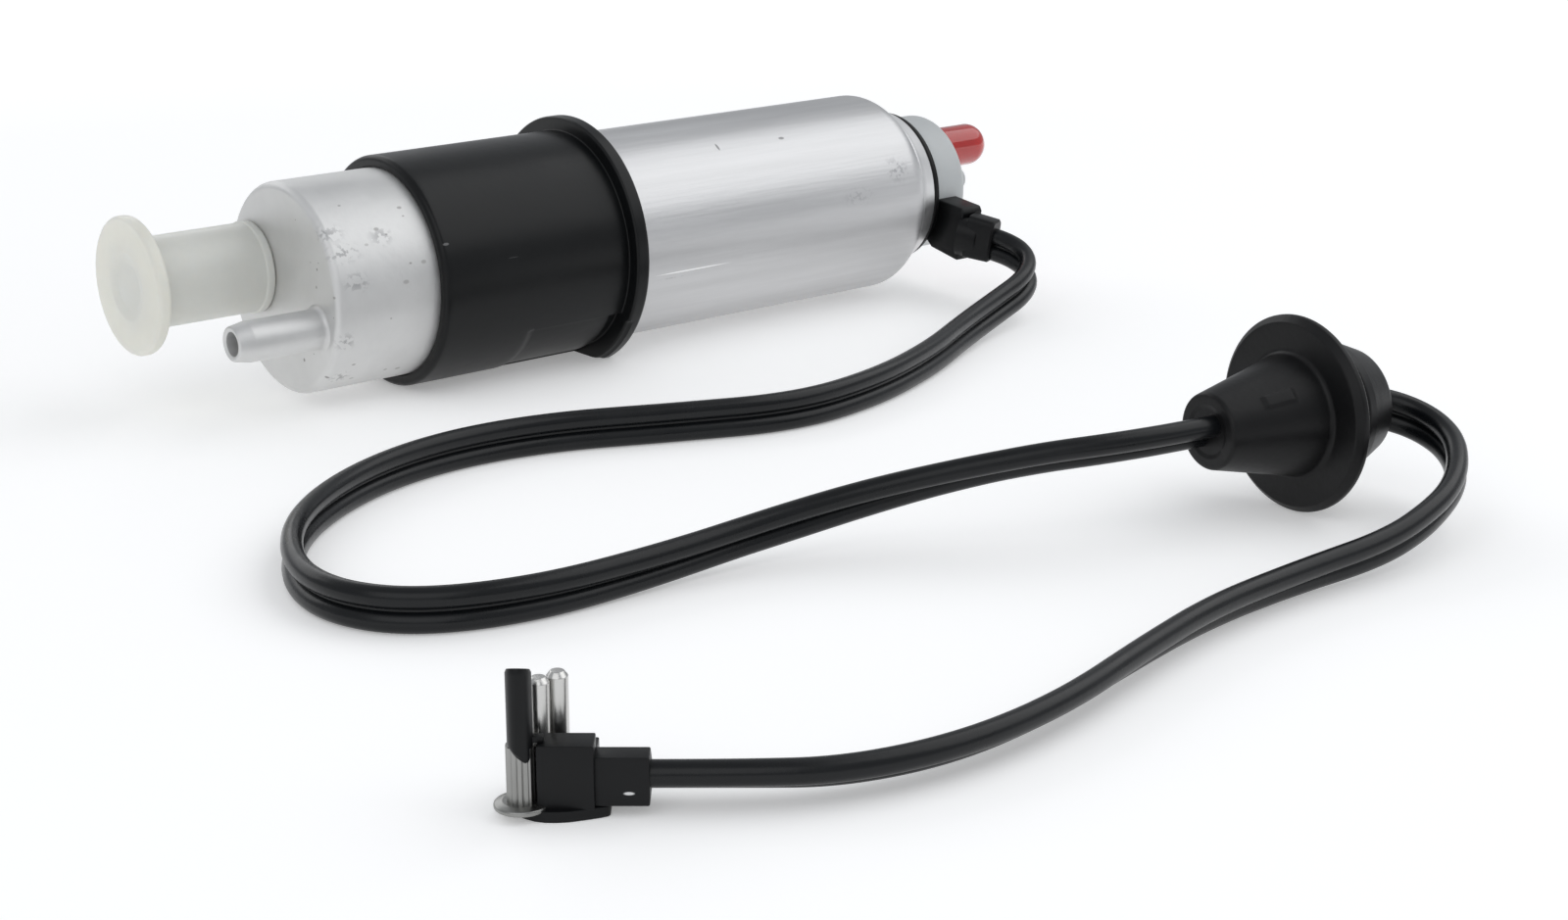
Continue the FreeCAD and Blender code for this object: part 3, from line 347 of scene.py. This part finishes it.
def solid(name, parts, place=None, angle=30.0):
    """One mesh object in metres out of several lists of vertices and faces in millimetres."""
    mesh = bpy.data.meshes.new(name)
    verts = []
    faces = []
    for part_verts, part_faces in parts:
        offset = len(verts)
        verts += [place @ v if place else v for v in part_verts]
        faces += [tuple(i + offset for i in face) for face in part_faces]
    mesh.from_pydata([tuple(v * MM) for v in verts], [], faces)
    work = bmesh.new()
    work.from_mesh(mesh)
    bmesh.ops.remove_doubles(work, verts=work.verts, dist=1e-7)
    bmesh.ops.dissolve_degenerate(work, edges=work.edges, dist=1e-7)
    bmesh.ops.recalc_face_normals(work, faces=work.faces)
    work.to_mesh(mesh)
    work.free()
    mesh.polygons.foreach_set("use_smooth", [True] * len(mesh.polygons))
    mesh.set_sharp_from_angle(angle=math.radians(angle))
    made = bpy.data.objects.new(name, mesh)
    bpy.context.scene.collection.objects.link(made)
    return made


def wear(made, look, body, *nodes, slot=None):
    """Gives a piece its finish, its body and the part nodes it stands for."""
    made.data.materials.clear()
    made.data.materials.append(looks[look])
    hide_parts(*nodes)
    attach(made, body)
    return made


def prism_mesh(corners, low, high, bevel=0.25, plane="xy"):
    """A closed outline extruded and softly bevelled, as vertices and faces."""
    work = bmesh.new()
    put = {"xy": lambda a, b, c: (a, b, c), "yz": lambda a, b, c: (c, a, b)}[plane]
    ring = [work.verts.new(put(a, b, low)) for a, b in corners]
    face = work.faces.new(ring)
    grown = bmesh.ops.extrude_face_region(work, geom=[face])
    moved = [v for v in grown["geom"] if isinstance(v, bmesh.types.BMVert)]
    bmesh.ops.translate(work, verts=moved, vec=Vector(put(0, 0, high - low)))
    bmesh.ops.recalc_face_normals(work, faces=work.faces)
    if bevel:
        sharp = [e for e in work.edges if e.calc_face_angle(0) > math.radians(25)]
        bmesh.ops.bevel(work, geom=sharp, offset=bevel, segments=3, profile=0.5, affect="EDGES",
                        clamp_overlap=True)
    work.verts.index_update()
    made = ([v.co.copy() for v in work.verts], [tuple(v.index for v in f.verts) for f in work.faces])
    work.free()
    return made


def upright_mesh(outline, spot, segments=48):
    """An outline (height, radius) turned about a vertical line at a spot of the plug."""
    verts, faces = lathe_mesh(outline, (0, 0), segments)
    return [Vector((spot[0] + v.y, spot[1] + v.z, v.x)) for v in verts], faces


def ring_faces(rows, row_size):
    """The quads between rows of vertices, where each row is a closed ring."""
    faces = []
    for row in range(rows - 1):
        for spot in range(row_size):
            after = (spot + 1) % row_size
            faces.append((row * row_size + spot, row * row_size + after, (row + 1) * row_size + after,
                          (row + 1) * row_size + spot))
    return faces


# Twin lead: two cores and their web swept along the route

route = (
    (82.0, -25.4, 13.9), (85.0, -31.5, 12.8), (84.3, -39.0, 10.3), (77.5, -44.8, 7.9),
    (65.0, -48.3, 5.6), (50.0, -54.3, 4.2), (31.0, -64.5, 3.7), (8.5, -73.5, 3.7),
    (-14.0, -76.5, 3.7), (-36.0, -67.5, 3.7), (-58.0, -57.5, 3.7), (-80.0, -55.5, 3.7),
    (-101.0, -62.0, 3.7), (-120.0, -76.0, 3.7), (-131.5, -94.5, 3.7), (-133.3, -110.0, 3.7),
    (-126.0, -122.0, 3.7), (-109.0, -128.3, 3.7), (-87.0, -128.6, 3.9), (-66.0, -130.0, 5.8),
    (-46.0, -138.0, 10.2), (-30.0, -150.5, 14.9), (-14.0, -160.3, 16.7), (2.0, -163.4, 16.9),
    (18.0, -165.6, 16.8), (33.0, -167.2, 16.4), (38.6, -170.6, 15.4), (41.3, -176.0, 13.9),
    (40.2, -182.4, 12.2), (35.4, -188.4, 10.4), (27.2, -193.3, 8.6), (17.0, -196.4, 6.8),
    (4.5, -197.4, 4.8), (-14.0, -195.4, 3.7), (-36.0, -196.8, 3.7), (-58.0, -202.0, 3.7),
    (-78.0, -207.5, 3.7), (-98.0, -209.5, 3.7), (-115.0, -206.0, 3.8), (-126.76, -198.65, 4.4),
    (-135.2, -191.6, 4.4),
)

# A lean is a point of the route and the degrees by which the two cores lean from level there.

leans = ((0, 92), (4, 98), (12, 90), (16, 90), (19, 112), (21, 140), (24, 140), (26, 100), (29, 92),
         (31, 70), (34, 52), (37, 35), (40, 25))
lead_core_r = 1.8
lead_core_offset = 1.9
web_half = 0.5
lead_core_steps = 18


def route_line():
    """The route's soft curve as a list of points in metres."""
    curve = bpy.data.curves.new("route", "CURVE")
    curve.dimensions = "3D"
    curve.resolution_u = 12
    spline = curve.splines.new("NURBS")
    spline.points.add(len(route) - 1)
    for point, place in zip(spline.points, route):
        point.co = (*[c * MM for c in place], 1)
    spline.order_u = 3
    spline.use_endpoint_u = True
    holder = bpy.data.objects.new("route", curve)
    bpy.context.scene.collection.objects.link(holder)
    bpy.context.view_layer.update()
    mesh = bpy.data.meshes.new_from_object(holder)
    line = [v.co.copy() for v in mesh.vertices]
    bpy.data.objects.remove(holder)
    bpy.data.meshes.remove(mesh)
    return line


def lean_at(share):
    """The lean in radians at a share of the route, eased from one entry of leans to the next."""
    place = share * (len(route) - 1)
    for (low, a), (high, b) in zip(leans, leans[1:]):
        if place <= high:
            t = (place - low) / (high - low)
            t = t * t * (3 - 2 * t)
            return math.radians(a + (b - a) * t)
    return math.radians(leans[-1][1])


def twin_section():
    """Outline of two round cores joined by a thin web, as (across, through)."""
    start = math.asin(web_half / lead_core_r)
    sweep = 2 * math.pi - 2 * start
    outline = []
    for side in (1, -1):
        for step in range(lead_core_steps + 1):
            turn = -math.pi + start + sweep * step / lead_core_steps
            across = lead_core_offset + lead_core_r * math.cos(turn)
            outline.append((side * across, side * lead_core_r * math.sin(turn)))
    return outline


def lead_mesh(line):
    """The twin section swept along a line in metres, closed at both ends."""
    section = twin_section()
    rim = len(section)
    last = len(line) - 1
    verts = []
    for index, centre in enumerate(line):
        along = (line[min(last, index + 1)] - line[max(0, index - 1)]).normalized()
        level = UP.cross(along).normalized()
        lean = lean_at(index / last)
        across = level * math.cos(lean) + UP * math.sin(lean)
        across = (across - along * across.dot(along)).normalized()
        through = along.cross(across)
        verts += [centre / MM + across * a + through * b for a, b in section]
    faces = ring_faces(len(line), rim)
    faces.append(tuple(range(rim)))
    faces.append(tuple(last * rim + spot for spot in range(rim)))
    return verts, faces


line = route_line()
lead = wear(solid("lead_twin_core", [lead_mesh(line)], angle=50), "lead_jacket", "pump", "twin_lead")


# Inlet housing with its stubs

face_back = 5.0
cavity_r = 18.5
skirt_r = 19.9
skirt_end = 50
spigot_tip = -22
spigot_r = 7.3
spigot_bore_r = 5.2
nipple_tip = -18.3
nipple_r = 3.9
nipple_bore_r = 2.3
stub_root = 0.4


def cove(radius, size, centre, steps=6):
    """A small cove where a stub meets the inlet face."""
    outline = []
    for step in range(steps + 1):
        turn = math.pi / 2 * step / steps
        outline.append((0.05 - size * (1 - math.cos(turn)), radius + size - size * math.sin(turn)))
    return lathe_mesh(outline, centre, 64)


housing = [
    lathe_mesh(rounded((
        (face_back, 4.0), (face_back, cavity_r, 1.6), (skirt_end, cavity_r, 0.1), (skirt_end, skirt_r, 0.2),
        (CAN_START, skirt_r, 0.1), (CAN_START, HOUSING_R, 0.1), (0, HOUSING_R, 1.5), (0, 0),
    ), 8)),
    lathe_mesh(rounded((
        (face_back, spigot_bore_r), (spigot_tip + 0.1, spigot_bore_r, 0.2), (spigot_tip, 6.4, 0.3),
        (spigot_tip + 3, spigot_r + 0.15, 0.4), (spigot_tip + 4, spigot_r, 0.3), (stub_root, spigot_r),
    )), SPIGOT, 96),
    lathe_mesh(rounded((
        (face_back, nipple_bore_r), (nipple_tip + 0.3, nipple_bore_r, 0.2), (nipple_tip, 3.3, 0.35),
        (nipple_tip + 3.2, nipple_r, 0.8), (stub_root, nipple_r),
    )), NIPPLE, 96),
    cove(nipple_r, 1.0, NIPPLE),
    cove(spigot_r, 0.6, SPIGOT),
]
wear(solid("housing_casting", housing, pump_place), "pale_casting", "pump", "inlet_housing")


# Motor can

can_inner_r = 20.0
shoulder = 147.2
crease_r = 18.55
neck_r = 16.9
lip_bore_r = 14.2
can = lathe_mesh(finer(rounded((
    (CAN_START, can_inner_r), (CAN_START, CAN_R, 0.3), (shoulder, CAN_R, 5.0),
    (shoulder + 2.0, crease_r + 0.05, 0.25), (shoulder + 2.7, crease_r, 0.25), (CAN_END - 0.4, neck_r, 0.8),
    (CAN_END, lip_bore_r, 0.2), (CAN_END - 1.5, lip_bore_r, 0.2), (CAN_END - 1.9, lip_bore_r + 1.2, 0.4),
    (shoulder + 1.1, 17.0, 0.4), (shoulder - 1.0, can_inner_r, 3.5), (CAN_START, can_inner_r),
), 10), 8.0), segments=224)
wear(solid("can_shell", [can], pump_place, 24), "plated_can", "pump", "motor_can")


# Isolating sleeve

sleeve_start = 22.3
sleeve_end = 68.7
flange_start = 65.5
flange_r = 25.65
flat_r = 22.88
pocket_start = 43.0
pocket_turns = (30, 80)
pocket_r = 22.9
pocket_depth = 0.5
slot_start = 63.2
slot_depth = 0.7


def sleeve_mark(station, radius, turn):
    """Shallow pocket low on the near side with a slot at the flange, and the flat underneath."""
    below = math.degrees(turn) - 180
    if radius > 22.0 and pocket_start - 1 < station < flange_start + 1:
        inside = math.radians(min(below - pocket_turns[0], pocket_turns[1] - below)) * pocket_r
        deep = min(inside, station - pocket_start)
        fade = max(0.0, min(1.0, deep / 0.6))
        radius -= pocket_depth * fade * fade * (3 - 2 * fade)
        if station > slot_start and inside > 0.4 and radius <= SLEEVE_R:
            radius -= slot_depth
    if radius * math.sin(turn) < -flat_r:
        radius = -flat_r / math.sin(turn)
    return station, radius


sleeve = lathe_mesh(finer(rounded((
    (CAN_START, HOUSING_R + 0.1), (sleeve_start, HOUSING_R + 0.1, 0.3), (sleeve_start, SLEEVE_R, 1.1),
    (flange_start, SLEEVE_R, 0.25), (flange_start, flange_r, 0.5), (sleeve_end, flange_r, 0.8),
    (sleeve_end, CAN_R + 0.1, 0.2), (CAN_START, CAN_R + 0.1, 0.1), (CAN_START, HOUSING_R + 0.1),
), 6), 0.8), segments=288, mark=sleeve_mark)
wear(solid("sleeve_moulding", [sleeve], pump_place, 35), "sleeve_black", "pump", "isolating_sleeve",
     slot="black_plastic")


# Outlet end

seal_start = CAN_END + 0.02
seal_bore_r = 13.2
seal_r = 16.55
seal = lathe_mesh(rounded((
    (seal_start, seal_bore_r), (seal_start, seal_r, 0.5), (COVER_START, seal_r - 0.05, 0.5),
    (COVER_START, seal_bore_r), (seal_start, seal_bore_r),
)))
wear(solid("seal_ring", [seal], pump_place), "black_rubber", "pump", "can_end_seal")

cover_foot = 146.2
cover_plug_r = 14.1
port_end = 176.9
port_r = 3.6
port_bore_r = 1.8
chamber_start = 148.7
chamber_end = 160.2
chamber_r = 3.2
lobe_end = 168.9
lobe_r = 2.6
cover = [
    lathe_mesh(rounded((
        (COVER_START, 13.1), (COVER_START, COVER_R, 0.3), (COVER_END, COVER_R, 1.8), (COVER_END, 0),
    ), 8)),
    lathe_mesh(rounded((
        (cover_foot, 0), (cover_foot, cover_plug_r, 0.8), (COVER_START + 0.1, cover_plug_r - 0.1),
    )), segments=128),
    lathe_mesh(rounded((
        (COVER_END - 0.5, port_r), (port_end - 0.7, port_r, 0.6), (port_end, port_r - 0.7, 0.3),
        (port_end, port_bore_r), (chamber_end, port_bore_r), (chamber_end, chamber_r),
        (chamber_start, chamber_r), (chamber_start, port_bore_r), (cover_foot - 0.1, port_bore_r),
    )), PORT, 64),
    lathe_mesh(rounded(((COVER_END - 5.9, lobe_r), (lobe_end, lobe_r, 1.4), (lobe_end, 0)), 8), LOBE, 64),
]
wear(solid("cover_moulding", cover, pump_place), "white_plastic", "pump", "outlet_cover")


# Transit caps

red_start = COVER_END + 0.2
red_end = 182.65
red_r = 4.7
red_wall = 0.75
red_cap = [
    lathe_mesh(rounded((
        (red_start, red_r - red_wall), (red_start, red_r, 0.2), (red_end, red_r, 4.4), (red_end, 0),
    ), 14), PORT, 96),
    lathe_mesh(rounded((
        (red_start, red_r - red_wall), (red_end - red_wall, red_r - red_wall, 3.5), (red_end - red_wall, 0),
    ), 14), PORT, 96),
]
wear(solid("cap_red", red_cap, pump_place), "red_cap", "outlet_cover_cap", "outlet_cap")

pale_front = -26.7
pale_back = pale_front + 2.6
pale_floor = pale_front + 2.0
pale_end = -0.1
pale_r = 8.75
pale_bead_r = 9.05
pale_bore_r = 7.55
pale_flange_r = 13.3
pale_cap = lathe_mesh(finer(rounded((
    (pale_front + 0.4, 0), (pale_front + 0.5, 4.5, 2.0), (pale_front, 6.6, 2.0),
    (pale_front, pale_flange_r, 0.8), (pale_back, pale_flange_r, 1.0), (pale_back + 0.2, pale_r, 1.2),
    (pale_end - 1.8, pale_r, 0.3), (pale_end - 1.6, pale_bead_r, 0.3), (pale_end, pale_bead_r, 0.5),
    (pale_end, pale_bore_r, 0.3), (pale_floor, pale_bore_r, 0.5), (pale_floor, 0),
), 8), 3.0), SPIGOT, 128)
wear(solid("cap_pale", [pale_cap], pump_place), "clear_cap", "inlet_cover_cap", "inlet_cap")


# Lead connector

block_start = 156.9
block_end = 162.9
block_outline = ((-9.5, -0.4), (-22.6, -1.9), (-23.2, -3.0), (-21.4, -13.9), (-12.9, -12.2), (-9.5, -9.0))
hood_rows = ((-2.5, 2.9, 4.9), (3.1, 2.8, 4.7), (3.5, 2.5, 4.3))
hood_steps = 32
hood_lift = 0.7
hood_squareness = 0.35


def hood_mesh(place):
    """A box with soft corners over the lead's start, its rows as (along, half width, half height)."""
    verts = []
    for along, half_width, half_height in hood_rows:
        for step in range(hood_steps):
            turn = 2 * math.pi * step / hood_steps
            side = math.copysign(abs(math.cos(turn)) ** hood_squareness, math.cos(turn))
            height = math.copysign(abs(math.sin(turn)) ** hood_squareness, math.sin(turn))
            verts.append(place @ Vector((along, half_width * side, half_height * height + hood_lift)))
    last = (len(hood_rows) - 1) * hood_steps
    faces = [tuple(range(hood_steps)), tuple(last + step for step in range(hood_steps))]
    return verts, faces + ring_faces(len(hood_rows), hood_steps)


block_verts, block_faces = prism_mesh(block_outline, block_start, block_end, 0.45, "yz")
block_verts = [pump_place @ v for v in block_verts]
lead_start = Vector(route[0])
onward = (Vector(route[1]) - lead_start).normalized()
aside = onward.cross(UP).normalized()
hood_turn = Matrix((onward, aside, aside.cross(onward))).transposed().to_4x4()
neck_turn = Vector((1, 0, 0)).rotation_difference(-onward).to_matrix().to_4x4()
neck_outline = rounded(((0, 0), (0, 3.9, 0.6), (2.2, 4.4, 0.5), (4.6, 4.6)))
neck_verts, neck_faces = lathe_mesh(neck_outline, segments=48)
neck_place = Matrix.Translation(lead_start) @ neck_turn @ Matrix.Scale(0.82, 4, (0, 1, 0))
neck_verts = [neck_place @ v for v in neck_verts]
connector = [(block_verts, block_faces), (neck_verts, neck_faces),
             hood_mesh(Matrix.Translation(lead_start) @ hood_turn)]
wear(solid("connector_moulding", connector), "black_plastic", "pump", "lead_connector")


# Grommet

rim_r = 16.85
cone_start = -18.2
cone_r = 10.5
step_r = 14.8
groove_r = 11.0
tail_end = 15.4
grommet_place = Matrix.Translation((18.95, -165.5, rim_r)) @ Matrix.Rotation(math.radians(-6.6), 4, "Z")
patch_turn = 138
patch_station = -8.6
patch_r = 8.8
patch_half_length = 3.0
patch_half_width = 1.3
patch_height = 0.22


def grommet_mark(station, radius, turn):
    """A bare raised patch on the upper near side of the cone."""
    around = abs(turn - math.radians(patch_turn)) * patch_r
    inside = min(patch_half_width - around, patch_half_length - abs(station - patch_station))
    if inside > 0:
        radius += patch_height * min(1.0, inside / 0.4)
    return station, radius


grommet = lathe_mesh(finer(rounded((
    (cone_start + 0.3, 0.0), (cone_start + 0.2, 3.9, 0.5), (cone_start, 4.6, 0.5), (cone_start, 6.4, 0.7),
    (0.0, cone_r, 0.9), (0.0, rim_r - 1.15, 0.5), (1.0, rim_r, 0.7), (2.4, rim_r, 0.8), (2.5, step_r, 0.3),
    (4.2, step_r - 0.1, 0.6), (4.3, groove_r, 0.4), (6.6, groove_r, 0.4), (6.7, groove_r + 1.2, 0.5),
    (9.0, groove_r + 0.6, 0.8), (tail_end, 9.0, 1.3), (tail_end, 3.6),
), 6), 0.45), segments=240, mark=grommet_mark)
wear(solid("grommet_rubber", [grommet], grommet_place, 40), "black_rubber", "pump", "lead_grommet")


# Plug, in its own frame with heights from the floor

plug_place = Matrix.Translation((-148.3, -187.7, 0)) @ Matrix.Rotation(math.radians(-39.87), 4, "Z")
plate_top = 1.5
block_top = 7.0
tower_top = 10.0
arch_top = 12.6
plate_outline = (
    (-5.1, 4.5), (-4.85, 3.2), (-4.1, 2.0), (-3.0, 1.1), (-1.8, 0.4), (-0.5, 0.05), (1.0, 0.02), (2.5, 0.2),
    (3.8, 0.6), (5.0, 1.0), (6.4, 1.5), (7.4, 2.0), (7.6, 2.4), (7.6, 10.2), (7.4, 10.4), (0.2, 10.4),
    (-2.0, 9.9), (-3.7, 8.7), (-4.8, 6.8),
)
plug_parts = [
    prism_mesh(plate_outline, 0.02, plate_top, 0.2),
    prism_mesh(((-1.4, 1.1), (5.6, 1.1), (5.7, 11.1), (-3.3, 11.1), (-3.3, 5.5), (-1.4, 5.5)),
               plate_top - 0.3, block_top, 0.2),
    prism_mesh(((-1.5, 0.9), (5.7, 0.9), (5.7, 5.5), (-1.5, 5.5)), plate_top - 0.2, tower_top, 0.2),
    prism_mesh(((1.5, 1.6), (1.5, 8.2), (5.2, 8.2), (9.3, 4.4), (9.3, 1.6)), 5.2, arch_top, 0.25, "yz"),
]
wear(solid("plug_moulding", plug_parts, plug_place), "black_plastic", "pump", "plug_body")

pin_r = 1.42
pin_foot = 3
pin_top = 17.2
pin_outline = rounded((
    (pin_foot, 0), (pin_foot, pin_r), (pin_top - 0.7, pin_r, 0.2), (pin_top, 0.9, 0.2), (pin_top, 0),
))
pins = [upright_mesh(pin_outline, spot) for spot in ((-1.43, 6.4), (0.75, 8.5))]
wear(solid("plug_contacts", pins, plug_place), "bright_steel", "pump", "plug_pins")

screw_spot = (-3.55, 2.6)
disc_foot = 1.2
disc_top = 2.1
disc_r = 3.6
column_top = 9.6
column_r = 1.9
column_grooves = 14
groove_depth = 0.16
screw_core_r = 1.0
screw_core_top = 17.8


def column_mesh():
    """The screw's ribbed column."""
    steps = 12 * column_grooves
    outline = []
    for step in range(steps):
        turn = 2 * math.pi * step / steps
        radius = column_r - groove_depth * max(0.0, math.cos(column_grooves * turn)) ** 2
        outline.append((screw_spot[0] + radius * math.cos(turn), screw_spot[1] + radius * math.sin(turn)))
    return prism_mesh(outline, disc_top - 0.2, column_top, 0)


screw_parts = [
    upright_mesh(rounded((
        (disc_foot, 0), (disc_foot, disc_r, 0.2), (disc_top - 0.25, disc_r, 0.3), (disc_top, 2.5, 0.3),
        (disc_top - 0.1, 0),
    )), screw_spot, 96),
    column_mesh(),
    upright_mesh(rounded((
        (disc_foot + 0.4, 0), (disc_foot + 0.4, screw_core_r), (screw_core_top, screw_core_r, 0.2),
        (screw_core_top, 0),
    )), screw_spot),
]
wear(solid("fixing_screw", screw_parts, plug_place), "worn_steel", "fixing_screw", "plug_screw",
     slot="bright_steel")

guide_half_width = 1.65
guide_front = 2.3
guide_back = 1.6
guide_top = 20.6
guide_slant = 1.5
guide_foot = 10.0
point_foot = 7.6
point_across = 1.1
guide_levels = 24
guide_steps = 64


def guide_mesh():
    """Solid-topped guide, deeper in front, slanted above and pointed below."""
    verts = []
    for level in range(guide_levels + 1):
        for step in range(guide_steps):
            turn = 2 * math.pi * step / guide_steps
            across = guide_half_width * math.cos(turn)
            deep = (guide_front if math.sin(turn) < 0 else guide_back) * math.sin(turn)
            top = guide_top - guide_slant * (deep + guide_front) / (guide_front + guide_back)
            foot = guide_foot if deep > -0.1 else point_foot + abs(across - point_across) * 0.75
            size = 0.88 if level in (0, guide_levels) else 1.0
            verts.append(Vector((screw_spot[0] + across * size, screw_spot[1] + deep * size,
                                 foot + (top - foot) * level / guide_levels)))
    last = guide_levels * guide_steps
    faces = [tuple(range(guide_steps - 1, -1, -1)), tuple(last + step for step in range(guide_steps))]
    return verts, faces + ring_faces(guide_levels + 1, guide_steps)


arm_outline = ((-2.3, 2.0), (-0.6, 2.0), (-0.6, 3.2), (-2.3, 3.2))
guide = [guide_mesh(), prism_mesh(arm_outline, tower_top + 0.02, tower_top + 0.9, 0.1)]
wear(solid("guide_tube", guide, plug_place), "black_plastic", "pump", "screw_guide")


# Inner pieces keep their own shapes

slots = {row["node"]: row["material_slot"] for row in frame["record"]["subparts"]}
for name, node in frame["nodes"].items():
    if not node.hide_render:
        node.data.materials.clear()
        node.data.materials.append(looks[slots[name]])


# Floor and light

floor_mesh = bpy.data.meshes.new("floor")
floor_mesh.from_pydata([(-6, -3, 0), (6, -3, 0), (6, 9, 0), (-6, 9, 0)], [], [(0, 1, 2, 3)])
floor = bpy.data.objects.new("floor", floor_mesh)
bpy.context.scene.collection.objects.link(floor)
floor_look = bpy.data.materials.new("floor")
floor_look.use_nodes = True
floor_nodes = floor_look.node_tree.nodes
floor_shader = floor_nodes["Principled BSDF"]
floor_shader.inputs["Roughness"].default_value = 0.9
floor_shader.inputs["Emission Color"].default_value = (1, 1, 1, 1)
floor_place = floor_nodes.new("ShaderNodeTexCoord")
floor_reach = floor_nodes.new("ShaderNodeVectorMath")
floor_reach.operation = "LENGTH"
floor_glow = floor_nodes.new("ShaderNodeMapRange")
floor_glow.inputs["From Min"].default_value = 0.3
floor_glow.inputs["From Max"].default_value = 1.4
floor_glow.inputs["To Min"].default_value = 0.27
floor_glow.inputs["To Max"].default_value = 0.62
floor_look.node_tree.links.new(floor_place.outputs["Object"], floor_reach.inputs[0])
floor_look.node_tree.links.new(floor_reach.outputs["Value"], floor_glow.inputs["Value"])
floor_look.node_tree.links.new(floor_glow.outputs["Result"], floor_shader.inputs["Emission Strength"])
floor_noise = floor_nodes.new("ShaderNodeTexNoise")
floor_noise.inputs["Scale"].default_value = 30
floor_tone = floor_nodes.new("ShaderNodeValToRGB")
floor_tone.color_ramp.elements[0].color = (0.86, 0.86, 0.86, 1)
floor_tone.color_ramp.elements[1].color = (0.9, 0.9, 0.9, 1)
floor_look.node_tree.links.new(floor_noise.outputs["Fac"], floor_tone.inputs["Fac"])
floor_look.node_tree.links.new(floor_tone.outputs["Color"], floor_shader.inputs["Base Color"])
floor_mesh.materials.append(floor_look)


def softbox(name, place, target, width, depth, power):
    """A rectangular area light, its lengths in metres, that faces the target."""
    data = bpy.data.lights.new(name, "AREA")
    data.shape = "RECTANGLE"
    data.size = width
    data.size_y = depth
    data.energy = power
    made = bpy.data.objects.new(name, data)
    made.location = place
    made.rotation_euler = (Vector(target) - Vector(place)).to_track_quat("-Z", "Y").to_euler()
    bpy.context.scene.collection.objects.link(made)
    return made


softbox("key", (0.75, -0.45, 0.95), (0, -0.05, 0), 1.7, 1.1, 6.5)
softbox("fill", (-0.9, -0.7, 0.8), (-0.05, -0.05, 0), 1.4, 1.0, 3.5)
softbox("back", (-0.1, 1.2, 0.7), (0, 0, 0), 1.6, 0.6, 3.5)

world = bpy.data.worlds.new("studio")
world.use_nodes = True
world.node_tree.nodes["Background"].inputs["Color"].default_value = (0.93, 0.96, 1.0, 1)
world.node_tree.nodes["Background"].inputs["Strength"].default_value = 0.48
bpy.context.scene.world = world
bpy.context.scene.view_settings.view_transform = "Standard"
